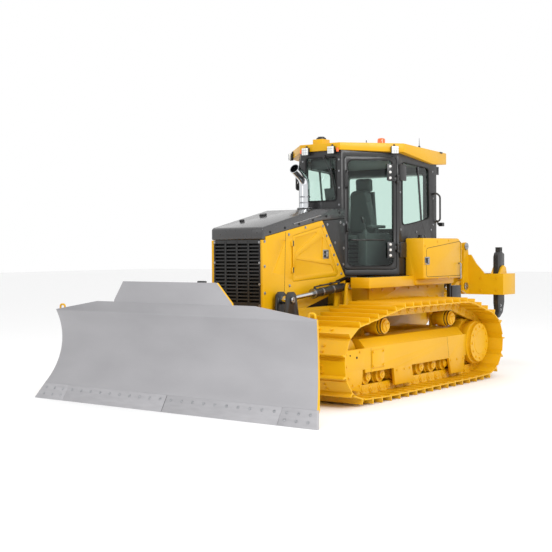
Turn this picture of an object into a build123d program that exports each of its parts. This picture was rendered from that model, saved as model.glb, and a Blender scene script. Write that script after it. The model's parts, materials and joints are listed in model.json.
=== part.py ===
"""Crawler dozer with a power-angle-tilt blade, a six-sided cab and a three-shank parallelogram ripper.

Millimetres. +X points forward to the blade, +Y to the machine's left, +Z up.
The origin lies on the ground, midway between the blade's tip and the back of the ripper beam.
"""
import os
from math import atan2, ceil, cos, degrees, hypot, radians, sin

from build123d import *

# ---------------------------------------------------------------- driving dimensions
# overall stations along X
blade_tip_x = 3200.0
ripper_back_x = -3200.0
hood_front_x = 1930.0
hood_back_x = 250.0
cab_front_x = 240.0
cab_post_x = -370.0
cab_back_x = -1340.0
frame_front_x = 1900.0
frame_back_x = -1780.0

# clearances
seat_gap = 0.3      # between pieces that rest on or in each other
pin_gap = 0.3       # radial, round a hinge pin
swing_gap = 6.0     # between pieces that move past each other

# undercarriage
track_pitch = 190.0
shoe_width = 762.0
track_gauge_half = 1169.0
shoe_thickness = 14.0
grouser_height = 50.0
rail_depth = 50.0       # link below the pin line
link_rise = 55.0        # link above the pin line
rail_width = 42.0
rail_offset = 80.0      # rail's middle from the chain's middle
drive_pitch_radius = 336.0
idler_x = 1670.0
idler_z = 474.0
sprocket_x = -1330.0
sprocket_z = 466.0
roller_radius = 88.0
roller_count = 8
first_roller_x = 1215.0
last_roller_x = -885.0
carrier_radius = 92.0
carrier_z = 806.0
front_carrier_x = 820.0
back_carrier_x = -780.0
final_drive_radius = 277.0
final_drive_face_y = 1400.0

# main frame
frame_half_width = 370.0
frame_bottom_z = 400.0
frame_top_z = 1000.0
deck_z = 1220.0
deck_half_width = 720.0

# hood
hood_half_width = 370.0
panel_thickness = 28.0
hood_shell = 25.0
nose_z = 1940.0
hood_bottom_z = 1050.0
door_hinge_x = 1350.0

# cab
cab_front_half = 310.0
cab_half_width = 775.0
cab_floor_z = 1360.0
cab_wall = 50.0
roof_z = 3000.0
pane = 6.0

# blade
blade_half_width = 1985.0
plate_thickness = 25.0

# push frame
lift_pivot_x = 300.0
lift_pivot_z = 420.0
arm_inner_y = 500.0
arm_outer_y = 620.0
tower_pin_x = 1690.0
tower_pin_z = 1122.0
tower_inner_y = 430.0
tower_outer_y = 600.0
tower_plate = 28.0
lift_base_x = 524.0
lift_base_z = 1230.0
angle_pivot_x = 2740.0
angle_pivot_z = 560.0

# ripper
link_base_x = -1894.0
link_base_z = 760.0
link_tip_x = -2710.0
link_tip_z = 1140.0
upper_pin_rise = 575.0
ripper_half_width = 1050.0
beam_front_x = -2800.0
beam_bottom_z = 1020.0
beam_top_z = 1320.0
shank_spacing = 900.0
shank_thickness = 75.0

os.makedirs("parts", exist_ok=True)


# ---------------------------------------------------------------- helpers
def save(builder, name):
    """Label a finished piece and write its STEP file."""
    builder.part.label = name
    export_step(builder.part, f"parts/{name}.step")


def save_pair(builder, stem):
    """Save a left-hand piece, and its mirror image for the right-hand side."""
    save(builder, f"{stem}_left")
    with BuildPart() as twin:
        mirror(builder.part, about=Plane.XZ)
    save(twin, f"{stem}_right")


def side_plane(y):
    """A plane that shows the machine's side: local x is X, local y is Z, extruding goes to -Y."""
    return Plane(origin=(0, y, 0), x_dir=(1, 0, 0), z_dir=(0, -1, 0))


def front_plane(x):
    """A plane across the machine: local x is Y, local y is Z, extruding goes to +X."""
    return Plane(origin=(x, 0, 0), x_dir=(0, 1, 0), z_dir=(1, 0, 0))


def side_slab(points, y_low, y_high, mode=Mode.ADD):
    """A flat plate with an (X, Z) outline between two Y values."""
    with BuildSketch(side_plane(y_high)) as outline:
        with BuildLine():
            Polyline(points, close=True)
        make_face()
    extrude(outline.sketch, amount=y_high - y_low, mode=mode)


def front_slab(points, x_low, x_high, mode=Mode.ADD):
    """A prism with a (Y, Z) outline between two X values."""
    with BuildSketch(front_plane(x_low)) as outline:
        with BuildLine():
            Polyline(points, close=True)
        make_face()
    extrude(outline.sketch, amount=x_high - x_low, mode=mode)


def plan_slab(points, z_low, z_high, mode=Mode.ADD):
    """A prism with an (X, Y) outline between two Z values."""
    with BuildSketch(Plane.XY.offset(z_low)) as outline:
        with BuildLine():
            Polyline(points, close=True)
        make_face()
    extrude(outline.sketch, amount=z_high - z_low, mode=mode)


def block(x, y, z, mode=Mode.ADD):
    """A box from its (low, high) pairs."""
    middle = ((x[0] + x[1]) / 2, (y[0] + y[1]) / 2, (z[0] + z[1]) / 2)
    with Locations(middle):
        Box(x[1] - x[0], y[1] - y[0], z[1] - z[0], mode=mode)


def bar(start, end, radius, mode=Mode.ADD):
    """A round bar from one point to another."""
    axis = Vector(*end) - Vector(*start)
    with BuildSketch(Plane(origin=start, z_dir=axis)) as section:
        Circle(radius)
    extrude(section.sketch, amount=axis.length, mode=mode)


def lateral_bar(x, z, y_low, y_high, radius, mode=Mode.ADD):
    """A round bar along Y."""
    bar((x, y_low, z), (x, y_high, z), radius, mode)


def mirrored(points):
    """An outline given by its left half, completed on the right: (a, y) pairs, front to back."""
    return points + [(a, -y) for a, y in reversed(points)]


# ---------------------------------------------------------------- track chain
# wheels that the pin line wraps: x, z, radius of the pin line
bend_relief = 11.0       # room for a straight link where the chain bends over a carrier roller
end_relief = 2.0        # the same at the first and the last roller
ground_rail_z = grouser_height + shoe_thickness + link_rise + rail_depth
roller_z = ground_rail_z + end_relief + roller_radius
chain_wheels = [
    (idler_x, idler_z, drive_pitch_radius),
    (front_carrier_x, carrier_z, carrier_radius + rail_depth + bend_relief),
    (back_carrier_x, carrier_z, carrier_radius + rail_depth + bend_relief),
    (sprocket_x, sprocket_z, drive_pitch_radius),
    (last_roller_x, roller_z, roller_radius + rail_depth + end_relief),
    (first_roller_x, roller_z, roller_radius + rail_depth + end_relief),
]
with BuildSketch() as pin_line:
    for wheel_x, wheel_z, wheel_radius in chain_wheels:
        with Locations((wheel_x, wheel_z)):
            Circle(wheel_radius)
    make_hull()
belt = pin_line.sketch.faces()[0].outer_wire()
shoe_count = round(belt.length / track_pitch)
pins = [belt.position_at(i / shoe_count) for i in range(shoe_count)]
belt_middle = sum(pins, Vector()) / shoe_count


def link_frame(i):
    """Middle, length, unit direction and outward unit normal of link i, in the side plane."""
    start = pins[i]
    end = pins[(i + 1) % shoe_count]
    along = (end - start).normalized()
    outward = Vector(along.Y, -along.X)
    middle = (start + end) / 2
    if outward.dot(middle - belt_middle) < 0:
        outward = -outward
    return middle, (end - start).length, along, outward


def chain_outline(offset):
    """The chain's polygon with its sides moved outward by an offset."""
    corners = []
    for i in range(shoe_count):
        _, _, _, before = link_frame(i - 1)
        _, _, _, after = link_frame(i)
        bisector = (before + after).normalized()
        corner = pins[i] + bisector * (offset / bisector.dot(after))
        corners.append((corner.X, corner.Y))
    return corners


# shoe outline: share of the pitch along the link, height above the link
shoe_outline = [
    (-0.49, 0.0),
    (0.49, 0.0),
    (0.49, shoe_thickness),
    (-0.36, shoe_thickness),
    (-0.41, shoe_thickness + grouser_height),
    (-0.49, shoe_thickness + grouser_height),
]

with BuildPart() as track:
    for rail_sign in (1, -1):
        rail_y = track_gauge_half + rail_sign * rail_offset + rail_width / 2
        with BuildSketch(side_plane(rail_y)):
            with BuildLine():
                Polyline(chain_outline(link_rise + 1), close=True)
            make_face()
            with BuildLine():
                Polyline(chain_outline(-rail_depth), close=True)
            make_face(mode=Mode.SUBTRACT)
        extrude(amount=rail_width)
    with BuildSketch(side_plane(track_gauge_half + shoe_width / 2)):
        for i in range(shoe_count):
            middle, length, along, outward = link_frame(i)
            with BuildLine():
                corners = []
                for share, height in shoe_outline:
                    corner = middle + along * (share * length) + outward * (link_rise + height)
                    corners.append((corner.X, corner.Y))
                Polyline(corners, close=True)
            make_face()
    extrude(amount=shoe_width)
save_pair(track, "track")

# ---------------------------------------------------------------- wheels of the undercarriage
tread_radius = drive_pitch_radius * cos(radians(180 * track_pitch / (3.1416 * drive_pitch_radius) / 2))
tread_radius = tread_radius - rail_depth - seat_gap
flange_half = rail_offset - rail_width / 2 - 4
tread_half = rail_offset + rail_width / 2


def spool(x, z, y_middle, steps):
    """A turned wheel along Y from (half width, radius) steps, widest first."""
    for half, radius in steps:
        lateral_bar(x, z, y_middle - half, y_middle + half, radius)


with BuildPart() as idlers:
    for sign in (1, -1):
        spool(idler_x, idler_z, sign * track_gauge_half,
              [(tread_half, tread_radius), (flange_half, tread_radius + 22), (tread_half + 12, 90)])
save(idlers, "idlers")

tooth_count = 11
with BuildPart() as sprockets:
    for sign in (1, -1):
        with BuildSketch(side_plane(sign * track_gauge_half + flange_half)):
            with Locations((sprocket_x, sprocket_z)):
                Circle(drive_pitch_radius - 30)
                with PolarLocations(drive_pitch_radius - 24, tooth_count):
                    Rectangle(44, 46)
        extrude(amount=2 * flange_half)
        lateral_bar(sprocket_x, sprocket_z, sign * track_gauge_half - flange_half - 1,
                    sign * track_gauge_half + flange_half + 1,
                    final_drive_radius + seat_gap - 20, Mode.SUBTRACT)
save(sprockets, "sprockets")

frame_under_z = roller_z + roller_radius + 28     # underside of the track frame
roller_step = (first_roller_x - last_roller_x) / (roller_count - 1)
roller_cap = tread_half + 24
with BuildPart() as rollers:
    for sign in (1, -1):
        middle_y = sign * track_gauge_half
        for i in range(roller_count):
            roller_x = last_roller_x + i * roller_step
            spool(roller_x, roller_z, middle_y,
                  [(tread_half, roller_radius - seat_gap), (flange_half, roller_radius + 20),
                   (roller_cap, 46)])
            for end in (-1, 1):
                cap_y = sorted((middle_y + end * (tread_half + 4), middle_y + end * roller_cap))
                block((roller_x - 46, roller_x + 46), cap_y, (roller_z, frame_under_z - seat_gap))
save(rollers, "track_rollers")

bracket_y = (1000.0, 1035.0)
with BuildPart() as carriers:
    for sign in (1, -1):
        for carrier_x in (front_carrier_x, back_carrier_x):
            spool(carrier_x, carrier_z, sign * track_gauge_half,
                  [(tread_half + 14, carrier_radius - seat_gap), (flange_half, carrier_radius + 14)])
            lateral_bar(carrier_x, carrier_z, sign * (bracket_y[1] + seat_gap), sign * 1100, 40)
save(carriers, "carrier_rollers")

# ---------------------------------------------------------------- track frames
cover_outer_y = 1360.0
frame_inner_y = 1000.0
cover_skirt = 40.0
cover_bottom_z = roller_z + 62
cover_top_z = 688.0
cover_front_x = idler_x + 130
frame_nose_x = idler_x - tread_radius - 30
frame_tail_x = sprocket_x + drive_pitch_radius + 30
cover_tail_x = sprocket_x + final_drive_radius + 18
guard_bottom_z = 122.0
guard_thickness = 32.0
# guards that hang from the cover's outer skirt: front plate, middle and rear roller guards, (X, Z)
guards = [
    [(cover_front_x, cover_top_z - 95), (cover_front_x - 30, 260), (idler_x + 30, 165),
     (1458, guard_bottom_z), (1420, cover_bottom_z + 9), (1420, cover_top_z - 95)],
    [(760, cover_bottom_z + 9), (730, guard_bottom_z), (300, guard_bottom_z), (350, cover_bottom_z + 9)],
    [(-570, cover_bottom_z + 9), (-640, guard_bottom_z), (-975, guard_bottom_z), (-1005, cover_bottom_z + 9)],
]
with BuildPart() as track_frame:
    # box with a sloped shoulder and a skirt along its outer side
    section = [
        (frame_inner_y, frame_under_z),
        (cover_outer_y - cover_skirt, frame_under_z),
        (cover_outer_y - cover_skirt, cover_bottom_z),
        (cover_outer_y, cover_bottom_z),
        (cover_outer_y, cover_top_z - 95),
        (cover_outer_y - 90, cover_top_z),
        (frame_inner_y, cover_top_z),
    ]
    front_slab(section, frame_tail_x, frame_nose_x)
    # the cover's tail beside the final drive
    block((cover_tail_x, frame_tail_x + 1), (cover_outer_y - cover_skirt, cover_outer_y),
          (cover_bottom_z, cover_top_z - 95))
    # fork arms and axle bosses of the idler
    for arm_y in (frame_inner_y, cover_outer_y - 45):
        block((frame_nose_x - 1, cover_front_x), (arm_y, arm_y + 45),
              (cover_bottom_z + 40, cover_top_z - 95))
    axle_half = tread_half + 12 + seat_gap
    lateral_bar(idler_x, idler_z, track_gauge_half + axle_half, cover_outer_y - 40, 60)
    lateral_bar(idler_x, idler_z, frame_inner_y + 40, track_gauge_half - axle_half, 60)
    for guard in guards:
        side_slab(guard, cover_outer_y - guard_thickness, cover_outer_y)
    # carrier roller brackets
    for carrier_x in (front_carrier_x, back_carrier_x):
        block((carrier_x - 60, carrier_x + 60), bracket_y, (cover_top_z - 1, carrier_z + 45))
save_pair(track_frame, "track_frame")

# ---------------------------------------------------------------- final drives
with BuildPart() as final_drives:
    for sign in (1, -1):
        bar((sprocket_x, sign * (frame_half_width + seat_gap), sprocket_z),
            (sprocket_x, sign * 1090, sprocket_z), 200)
        bar((sprocket_x, sign * 1085, sprocket_z),
            (sprocket_x, sign * (final_drive_face_y - 45), sprocket_z), final_drive_radius - 20)
        bar((sprocket_x, sign * (track_gauge_half + tread_half + 8), sprocket_z),
            (sprocket_x, sign * (final_drive_face_y - 45), sprocket_z), final_drive_radius)
        bar((sprocket_x, sign * (final_drive_face_y - 46), sprocket_z),
            (sprocket_x, sign * final_drive_face_y, sprocket_z), final_drive_radius - 32)
save(final_drives, "final_drives")

# ---------------------------------------------------------------- main frame
engine_front_x = 1480.0
cross_tube_x = (-250.0, -800.0)
with BuildPart() as main_frame:
    # case between the tracks, open above for the engine
    side_slab([(frame_front_x, 620), (frame_front_x, frame_top_z), (frame_back_x, frame_top_z),
               (frame_back_x, 560), (frame_back_x + 250, frame_bottom_z), (1500, frame_bottom_z)],
              -frame_half_width, frame_half_width)
    block((hood_back_x, frame_front_x - 90), (-frame_half_width + 60, frame_half_width - 60),
          (frame_bottom_z + 60, frame_top_z + 1), Mode.SUBTRACT)
    # deck under the cab
    block((-1650, 300), (-deck_half_width, deck_half_width), (frame_top_z - 1, deck_z))
    for sign in (1, -1):
        # push-frame trunnions
        lateral_bar(lift_pivot_x, lift_pivot_z, sign * (frame_half_width - 1),
                    sign * (arm_outer_y + 15), 48)
        lateral_bar(lift_pivot_x, lift_pivot_z, sign * (frame_half_width - 1),
                    sign * (arm_inner_y - swing_gap), 85)
        # tubes that carry the track frames
        for tube_x in cross_tube_x:
            lateral_bar(tube_x, 600, sign * (frame_half_width - 1), sign * (frame_inner_y - seat_gap), 75)
        # lift-cylinder brackets on a shelf
        shelf_y = sorted((sign * (frame_half_width - 1), sign * tower_outer_y))
        block((450, 610), shelf_y, (955, frame_top_z))
        for plate_y in (tower_inner_y, tower_outer_y - tower_plate):
            y_pair = sorted((sign * plate_y, sign * (plate_y + tower_plate)))
            side_slab([(452, 999), (608, 999), (lift_base_x + 48, lift_base_z + 10),
                       (lift_base_x + 20, lift_base_z + 50), (lift_base_x - 20, lift_base_z + 50),
                       (lift_base_x - 48, lift_base_z + 10)], y_pair[0], y_pair[1])
        lateral_bar(lift_base_x, lift_base_z, sign * tower_inner_y, sign * (tower_outer_y + 12), 26)
        # ripper brackets at the back
        bracket_pair = sorted((sign * 300, sign * 350))
        side_slab([(frame_back_x + 1, 600), (frame_back_x + 1, deck_z + 140),
                   (link_base_x - 70, link_base_z + upper_pin_rise + 60),
                   (link_base_x - 80, link_base_z - 40), (link_base_x + 20, link_base_z - 90)],
                  bracket_pair[0], bracket_pair[1])
        for pin_z in (link_base_z, link_base_z + upper_pin_rise):
            lateral_bar(link_base_x, pin_z, sign * 320, sign * 452, 28)
        cheek_pair = sorted((sign * 165, sign * 190))
        side_slab([(frame_back_x + 1, frame_top_z - 100), (frame_back_x + 1, deck_z + 140),
                   (link_base_x - 60, link_base_z + upper_pin_rise + 55),
                   (link_base_x - 60, link_base_z + upper_pin_rise - 60)], cheek_pair[0], cheek_pair[1])
        lateral_bar(link_base_x, link_base_z + upper_pin_rise, sign * 150, sign * 321, 28)
save(main_frame, "main_frame")

# ---------------------------------------------------------------- engine and cooling
with BuildPart() as engine:
    block((480, engine_front_x), (-270, 270), (frame_bottom_z + 60 + seat_gap, 1720))
save(engine, "engine_block")

with BuildPart() as radiator:
    half = frame_half_width - 60 - seat_gap
    block((1620, 1780), (-half, half), (frame_bottom_z + 60 + seat_gap, 1800))
    with BuildSketch(front_plane(1779)):
        with Locations((0, 1450)):
            Circle(290)
            Circle(262, mode=Mode.SUBTRACT)
    extrude(amount=60)
    with BuildSketch(front_plane(1779)):
        with Locations((0, 1450)):
            Circle(70)
            with PolarLocations(155, 8):
                Rectangle(200, 46, rotation=18)
    extrude(amount=34)
save(radiator, "radiator_and_fan")

# ---------------------------------------------------------------- hood
knee_x = 880.0
knee_z = 2166.0


def roofline(x):
    """Height of the hood's top edge at a station."""
    if x > knee_x:
        return knee_z + (nose_z - knee_z) * (x - knee_x) / (hood_front_x - knee_x)
    return knee_z + 24.0 * (knee_x - x) / (knee_x - hood_back_x)


def band_bottom(x):
    """Height of the seam between the hood top and the side panels."""
    return 1822.0 + (hood_front_x - x) * 0.178


cap_bottom_z = 1800.0
cap_back_x = 1870.0
with BuildPart() as hood_top:
    side_slab([(hood_front_x, cap_bottom_z), (hood_front_x, nose_z - 22), (hood_front_x - 22, nose_z),
               (knee_x, knee_z), (hood_back_x, roofline(hood_back_x)), (hood_back_x, 2060),
               (765, band_bottom(765)), (cap_back_x, band_bottom(cap_back_x)),
               (cap_back_x, cap_bottom_z)], -hood_half_width, hood_half_width)
    side_slab([(hood_front_x - hood_shell, 1700), (hood_front_x - hood_shell, nose_z - 47),
               (knee_x, knee_z - hood_shell), (hood_back_x - 1, roofline(hood_back_x) - hood_shell),
               (hood_back_x - 1, 1700)],
              -hood_half_width + hood_shell, hood_half_width - hood_shell, Mode.SUBTRACT)
save(hood_top, "hood_top")

seam = 4.0
panel_y = (hood_half_width - panel_thickness, hood_half_width)
door_pin_low = 1419.0
door_pin_high = 1785.0
door_axis = (door_hinge_x + 11, hood_half_width + 10)
door_corner = 24.0
# door outline from the hinge edge's foot, and the pressed pockets that leave a K of ribs
door_outline = [(door_hinge_x, 1318), (door_hinge_x, 1843), (774, 1956), (407, 1389), (458, 1360)]
door_pockets = [
    [(1300, 1822), (800, 1908), (1300, 1644)],
    [(1285, 1606), (735, 1838), (770, 1560)],
    [(1300, 1576), (560, 1498), (490, 1412), (1300, 1372)],
]
pocket_depth = 7.0


def rounded_side_slab(points, y_low, y_high, radius, grow=0.0, mode=Mode.ADD):
    """A side slab with rounded corners, its outline moved outward by an amount."""
    with BuildSketch(side_plane(y_high)) as outline:
        with BuildLine():
            Polyline(points, close=True)
        make_face()
        if grow:
            offset(amount=grow, kind=Kind.INTERSECTION)
        fillet(outline.vertices(), radius)
    extrude(outline.sketch, amount=y_high - y_low, mode=mode)


with BuildPart() as side_panels:
    with BuildPart(mode=Mode.PRIVATE) as side_panel:
        side_slab([(hood_front_x - 2, frame_top_z + seat_gap), (hood_front_x - 2, cap_bottom_z - seam),
                   (cap_back_x - seam, cap_bottom_z - seam),
                   (cap_back_x - seam, band_bottom(cap_back_x) - seat_gap),
                   (765, band_bottom(765) - seat_gap), (746, band_bottom(765) - seat_gap),
                   (hood_back_x + 3, 1345), (hood_back_x + 3, 1262), (620, 1262),
                   (620, 1120), (1100, frame_top_z + seat_gap)], panel_y[0], panel_y[1])
        rounded_side_slab(door_outline, panel_y[0] - 1, panel_y[1] + 1, door_corner + seam, seam,
                          Mode.SUBTRACT)
        # pressed rib of the front panel
        side_slab([(1500, 1790), (1545, 1790), (1760, 1425), (1715, 1425)], panel_y[1] - 5, panel_y[1] + 1,
                  Mode.SUBTRACT)
        for z in (door_pin_low, door_pin_high - 60):
            bar((*door_axis, z), (*door_axis, z + 60), 9)
            block((door_axis[0], door_axis[0] + 34), (hood_half_width - 1, door_axis[1] + 4), (z, z + 60))
        bar((*door_axis, door_pin_low + 1), (*door_axis, door_pin_high - 1), 5)
    add(side_panel.part)
    mirror(side_panel.part, about=Plane.XZ)
save(side_panels, "hood_side_panels")

with BuildPart() as skirts:
    for sign in (1, -1):
        y_pair = sorted((sign * panel_y[0], sign * panel_y[1]))
        side_slab([(736, band_bottom(765) - seat_gap), (hood_back_x + 2, 2060 - seat_gap),
                   (hood_back_x + 2, 1352)], y_pair[0], y_pair[1])
save(skirts, "cab_skirts")

with BuildPart() as engine_door:
    rounded_side_slab(door_outline, panel_y[0], panel_y[1], door_corner)
    for pocket in door_pockets:
        rounded_side_slab(pocket, panel_y[1] - pocket_depth, panel_y[1] + 1, 14, 0, Mode.SUBTRACT)
    low = door_pin_low + 60 + seat_gap
    high = door_pin_high - 60 - seat_gap
    bar((*door_axis, low), (*door_axis, high), 9)
    block((door_hinge_x - 34, door_hinge_x - 1), (hood_half_width - 1, door_axis[1] + 4), (low, high))
    block((door_hinge_x - 2, door_axis[0]), (hood_half_width + 2, door_axis[1] + 4), (low, high))
    bar((*door_axis, low - 1), (*door_axis, high + 1), 5 + pin_gap, Mode.SUBTRACT)
save_pair(engine_door, "engine_door")

with BuildPart() as grille:
    block((hood_front_x - 40, hood_front_x - 4), (-panel_y[0] + 4, panel_y[0] - 4),
          (frame_top_z + seat_gap, cap_bottom_z - seam))
    with BuildSketch(front_plane(hood_front_x)) as slots:
        with Locations((0, 1425)):
            with GridLocations(166, 40, 4, 17):
                Rectangle(146, 24)
    extrude(slots.sketch, amount=-50, mode=Mode.SUBTRACT)
save(grille, "grille")

with BuildPart() as exhaust:
    # stack at the right front of the cab, its mouth turned forward
    stack_x = 375.0
    stack_y = -155.0
    stack_radius = 65.0
    stack_z = roofline(stack_x - stack_radius) + seat_gap
    with BuildLine() as stack_path:
        FilletPolyline((stack_x, stack_y, stack_z), (stack_x, stack_y, 2565),
                       (stack_x + 219, stack_y, 2690), radius=140)
    with BuildSketch(Plane(origin=(stack_x, stack_y, stack_z), z_dir=(0, 0, 1))):
        Circle(stack_radius)
        Circle(stack_radius - 8, mode=Mode.SUBTRACT)
    sweep(path=stack_path.line)
save(exhaust, "exhaust_stack")

# ---------------------------------------------------------------- cab
cab_plan = [(cab_front_x, cab_front_half), (cab_post_x, cab_half_width), (cab_back_x, cab_half_width)]
cowl_top_z = 2300.0
sill_z = 1960.0
roof_under = [(420, 2925), (-330, 2895), (-1180, 2795), (-1600, 2815)]    # (X, Z) of the roof's underside


def inset_plan(inset):
    """The cab's six-sided plan with every wall moved inward."""
    with BuildSketch() as plan:
        with BuildLine():
            Polyline(mirrored(cab_plan), close=True)
        make_face()
        offset(amount=-inset, kind=Kind.INTERSECTION)
    return plan.sketch


def wall_plane(inset=0.0):
    """The door wall's plane: local x runs from the front corner to the post, local y is up."""
    along = Vector(cab_post_x - cab_front_x, cab_half_width - cab_front_half, 0).normalized()
    outward = Vector(along.Y, -along.X, 0)
    start = Vector(cab_front_x, cab_front_half, 0) - outward * inset
    return Plane(origin=start, x_dir=along, z_dir=outward)


wall_length = hypot(cab_post_x - cab_front_x, cab_half_width - cab_front_half)
door_low_z = 1425.0
door_high_z = 2845.0
door_edge = 32.0
door_span = (door_edge, wall_length - door_edge)
window_radius = 60.0
divider_top = (-844.0, 2800.0)
divider_bottom = (-955.0, 1960.0)
divider_half = 17.0


def wall_panel(plane, low, high, corner, depth, mode=Mode.ADD):
    """A rounded rectangle on a wall's plane, from its low corner to its high corner."""
    with BuildSketch(plane) as outline:
        with Locations(((low[0] + high[0]) / 2, (low[1] + high[1]) / 2)):
            RectangleRounded(high[0] - low[0], high[1] - low[1], corner)
    extrude(outline.sketch, amount=depth, mode=mode)


hinge_local_x = 740.0
hinge_out = 25.0
hinge_pin = 9.0
hinge_heights = (1640.0, 2500.0)
hinge_point = wall_plane().from_local_coords(Vector(hinge_local_x, 0, hinge_out))
hinge_xy = (hinge_point.X, hinge_point.Y)


def hinge_knuckle(z_low, z_high, mode=Mode.ADD):
    """A short upright barrel on the left door's hinge line."""
    bar((*hinge_xy, z_low), (*hinge_xy, z_high), 19, mode)


def wall_block(along, outward, heights, mode=Mode.ADD):
    """A block given along the door wall, outward from it, and in height."""
    with BuildSketch(wall_plane(-outward[0])) as outline:
        with Locations(((along[0] + along[1]) / 2, (heights[0] + heights[1]) / 2)):
            Rectangle(along[1] - along[0], heights[1] - heights[0])
    extrude(outline.sketch, amount=outward[1] - outward[0], mode=mode)


side_window = [(-440, 1975), (-440, 2790), (-1130, 2745), (-1150, 2077)]
rear_glass_low = (-600.0, sill_z)
rear_glass_high = (600.0, 2690.0)
front_glass_low = (-225.0, cowl_top_z)
front_glass_high = (225.0, 2830.0)
with BuildPart() as cab_frame:
    with BuildSketch(Plane.XY.offset(cab_floor_z)) as plan:
        with BuildLine():
            Polyline(mirrored(cab_plan), close=True)
        make_face()
    extrude(plan.sketch, amount=roof_z - cab_floor_z)
    extrude(inset_plan(cab_wall).moved(Location((0, 0, cab_floor_z + cab_wall))),
            amount=roof_z - cab_floor_z, mode=Mode.SUBTRACT)
    # walls end under the roof
    side_slab([(x, z - seat_gap) for x, z in roof_under] + [(-1600, 3100), (420, 3100)], -900, 900,
              Mode.SUBTRACT)
    # door openings
    with BuildPart(mode=Mode.PRIVATE) as door_opening:
        wall_panel(wall_plane(), (door_span[0], door_low_z), (door_span[1], door_high_z), 50, -100)
    add(door_opening.part, mode=Mode.SUBTRACT)
    mirror(door_opening.part, about=Plane.XZ, mode=Mode.SUBTRACT)
    # side windows
    for y in (cab_half_width - cab_wall - 1, -cab_half_width - 1):
        rounded_side_slab(side_window, y, y + cab_wall + 2, window_radius, 0, Mode.SUBTRACT)
    for y_pair in ((cab_half_width - 11.5, cab_half_width), (-cab_half_width, -cab_half_width + 11.5)):
        side_slab([(divider_top[0] + divider_half, divider_top[1]),
                   (divider_top[0] - divider_half, divider_top[1]),
                   (divider_bottom[0] - divider_half, divider_bottom[1]),
                   (divider_bottom[0] + divider_half, divider_bottom[1])], y_pair[0], y_pair[1])
    # louvred air box under the roof's tail
    block((cab_back_x - 225, cab_back_x + 1), (-690, 690), (2680, 2790))
    for z in (2700, 2727, 2754):
        for y in (-691, 684):
            block((cab_back_x - 205, cab_back_x - 20), (y, y + 7), (z, z + 14), Mode.SUBTRACT)
        block((cab_back_x - 226, cab_back_x - 219), (-640, 640), (z, z + 14), Mode.SUBTRACT)
    # windscreen and rear window
    wall_panel(front_plane(cab_front_x - cab_wall - 1), front_glass_low, front_glass_high, 30,
               cab_wall + 2, Mode.SUBTRACT)
    wall_panel(front_plane(cab_back_x - 1), rear_glass_low, rear_glass_high, window_radius,
               cab_wall + 2, Mode.SUBTRACT)
    # hinge knuckles on the posts, with their pins
    with BuildPart(mode=Mode.PRIVATE) as knuckles:
        for hinge_z in hinge_heights:
            for z in (hinge_z, hinge_z + 80):
                hinge_knuckle(z, z + 36)
                wall_block((hinge_local_x, hinge_local_x + 26), (-1, hinge_out), (z, z + 36))
            bar((*hinge_xy, hinge_z + 1), (*hinge_xy, hinge_z + 115), hinge_pin)
    add(knuckles.part)
    mirror(knuckles.part, about=Plane.XZ)
save(cab_frame, "cab_frame")

with BuildPart() as cab_glass:
    for y in (cab_half_width - 12 - pane, -cab_half_width + 12):
        rounded_side_slab(side_window, y, y + pane, window_radius, -seat_gap)
    wall_panel(front_plane(cab_front_x - 20), (front_glass_low[0] + seat_gap, front_glass_low[1] + seat_gap),
               (front_glass_high[0] - seat_gap, front_glass_high[1] - seat_gap), 30, pane)
    wall_panel(front_plane(cab_back_x + 14), (rear_glass_low[0] + seat_gap, rear_glass_low[1] + seat_gap),
               (rear_glass_high[0] - seat_gap, rear_glass_high[1] - seat_gap), window_radius, pane)
save(cab_glass, "cab_glass")

roof_plan = [(262, 305), (-335, 868), (-1575, 800)]
roof_over = [(420, roof_z + 12), (-330, roof_z + 4), (-1600, roof_z - 36)]     # (X, Z) of the roof's top


def roof_top(x):
    """Height of the roof's top at a station."""
    for (front_x, front_z), (back_x, back_z) in zip(roof_over, roof_over[1:]):
        if x >= back_x:
            return back_z + (front_z - back_z) * (x - back_x) / (front_x - back_x)
    return roof_over[-1][1]


with BuildPart() as cab_roof:
    plan_slab(mirrored(roof_plan), 2700, roof_z + 20)
    side_slab([(420, 2690)] + roof_under + [(-1600, 2690)], -900, 900, Mode.SUBTRACT)
    side_slab(roof_over + [(-1600, roof_z + 60), (420, roof_z + 60)], -900, 900, Mode.SUBTRACT)
    # air intake box with its domed cap
    block((55, 215), (-140, 15), (2970, 3075))
    bar((135, -62, 3070), (135, -62, 3096), 62)
    bar((135, -62, 3095), (135, -62, 3110), 44)
save(cab_roof, "cab_roof")

# doors: a frame with its pane, hinged at the rear post
leaf = 42.0
leaf_gap = 7.0
leaf_border = 46.0
leaf_low = (door_span[0] + leaf_gap, door_low_z + leaf_gap)
leaf_high = (door_span[1] - leaf_gap, door_high_z - leaf_gap)
glass_low = (leaf_low[0] + leaf_border, leaf_low[1] + leaf_border)
glass_high = (leaf_high[0] - leaf_border, leaf_high[1] - leaf_border)
with BuildPart() as cab_door:
    wall_panel(wall_plane(), leaf_low, leaf_high, 46, -leaf)
    wall_panel(wall_plane(-1), glass_low, glass_high, 70, -leaf - 2, Mode.SUBTRACT)
    for hinge_z in hinge_heights:
        low = hinge_z + 36 + seat_gap
        high = hinge_z + 80 - seat_gap
        hinge_knuckle(low, high)
        wall_block((hinge_local_x - 120, leaf_high[0]), (-1, 18), (low, high))
        wall_block((leaf_high[0] - 1, hinge_local_x), (swing_gap, 18), (low, high))
        bar((*hinge_xy, low - 1), (*hinge_xy, high + 1), hinge_pin + pin_gap, Mode.SUBTRACT)
save_pair(cab_door, "cab_door")

with BuildPart() as door_glass:
    wall_panel(wall_plane(14), (glass_low[0] + seat_gap, glass_low[1] + seat_gap),
               (glass_high[0] - seat_gap, glass_high[1] - seat_gap), 70, -pane)
save_pair(door_glass, "door_glass")

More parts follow.
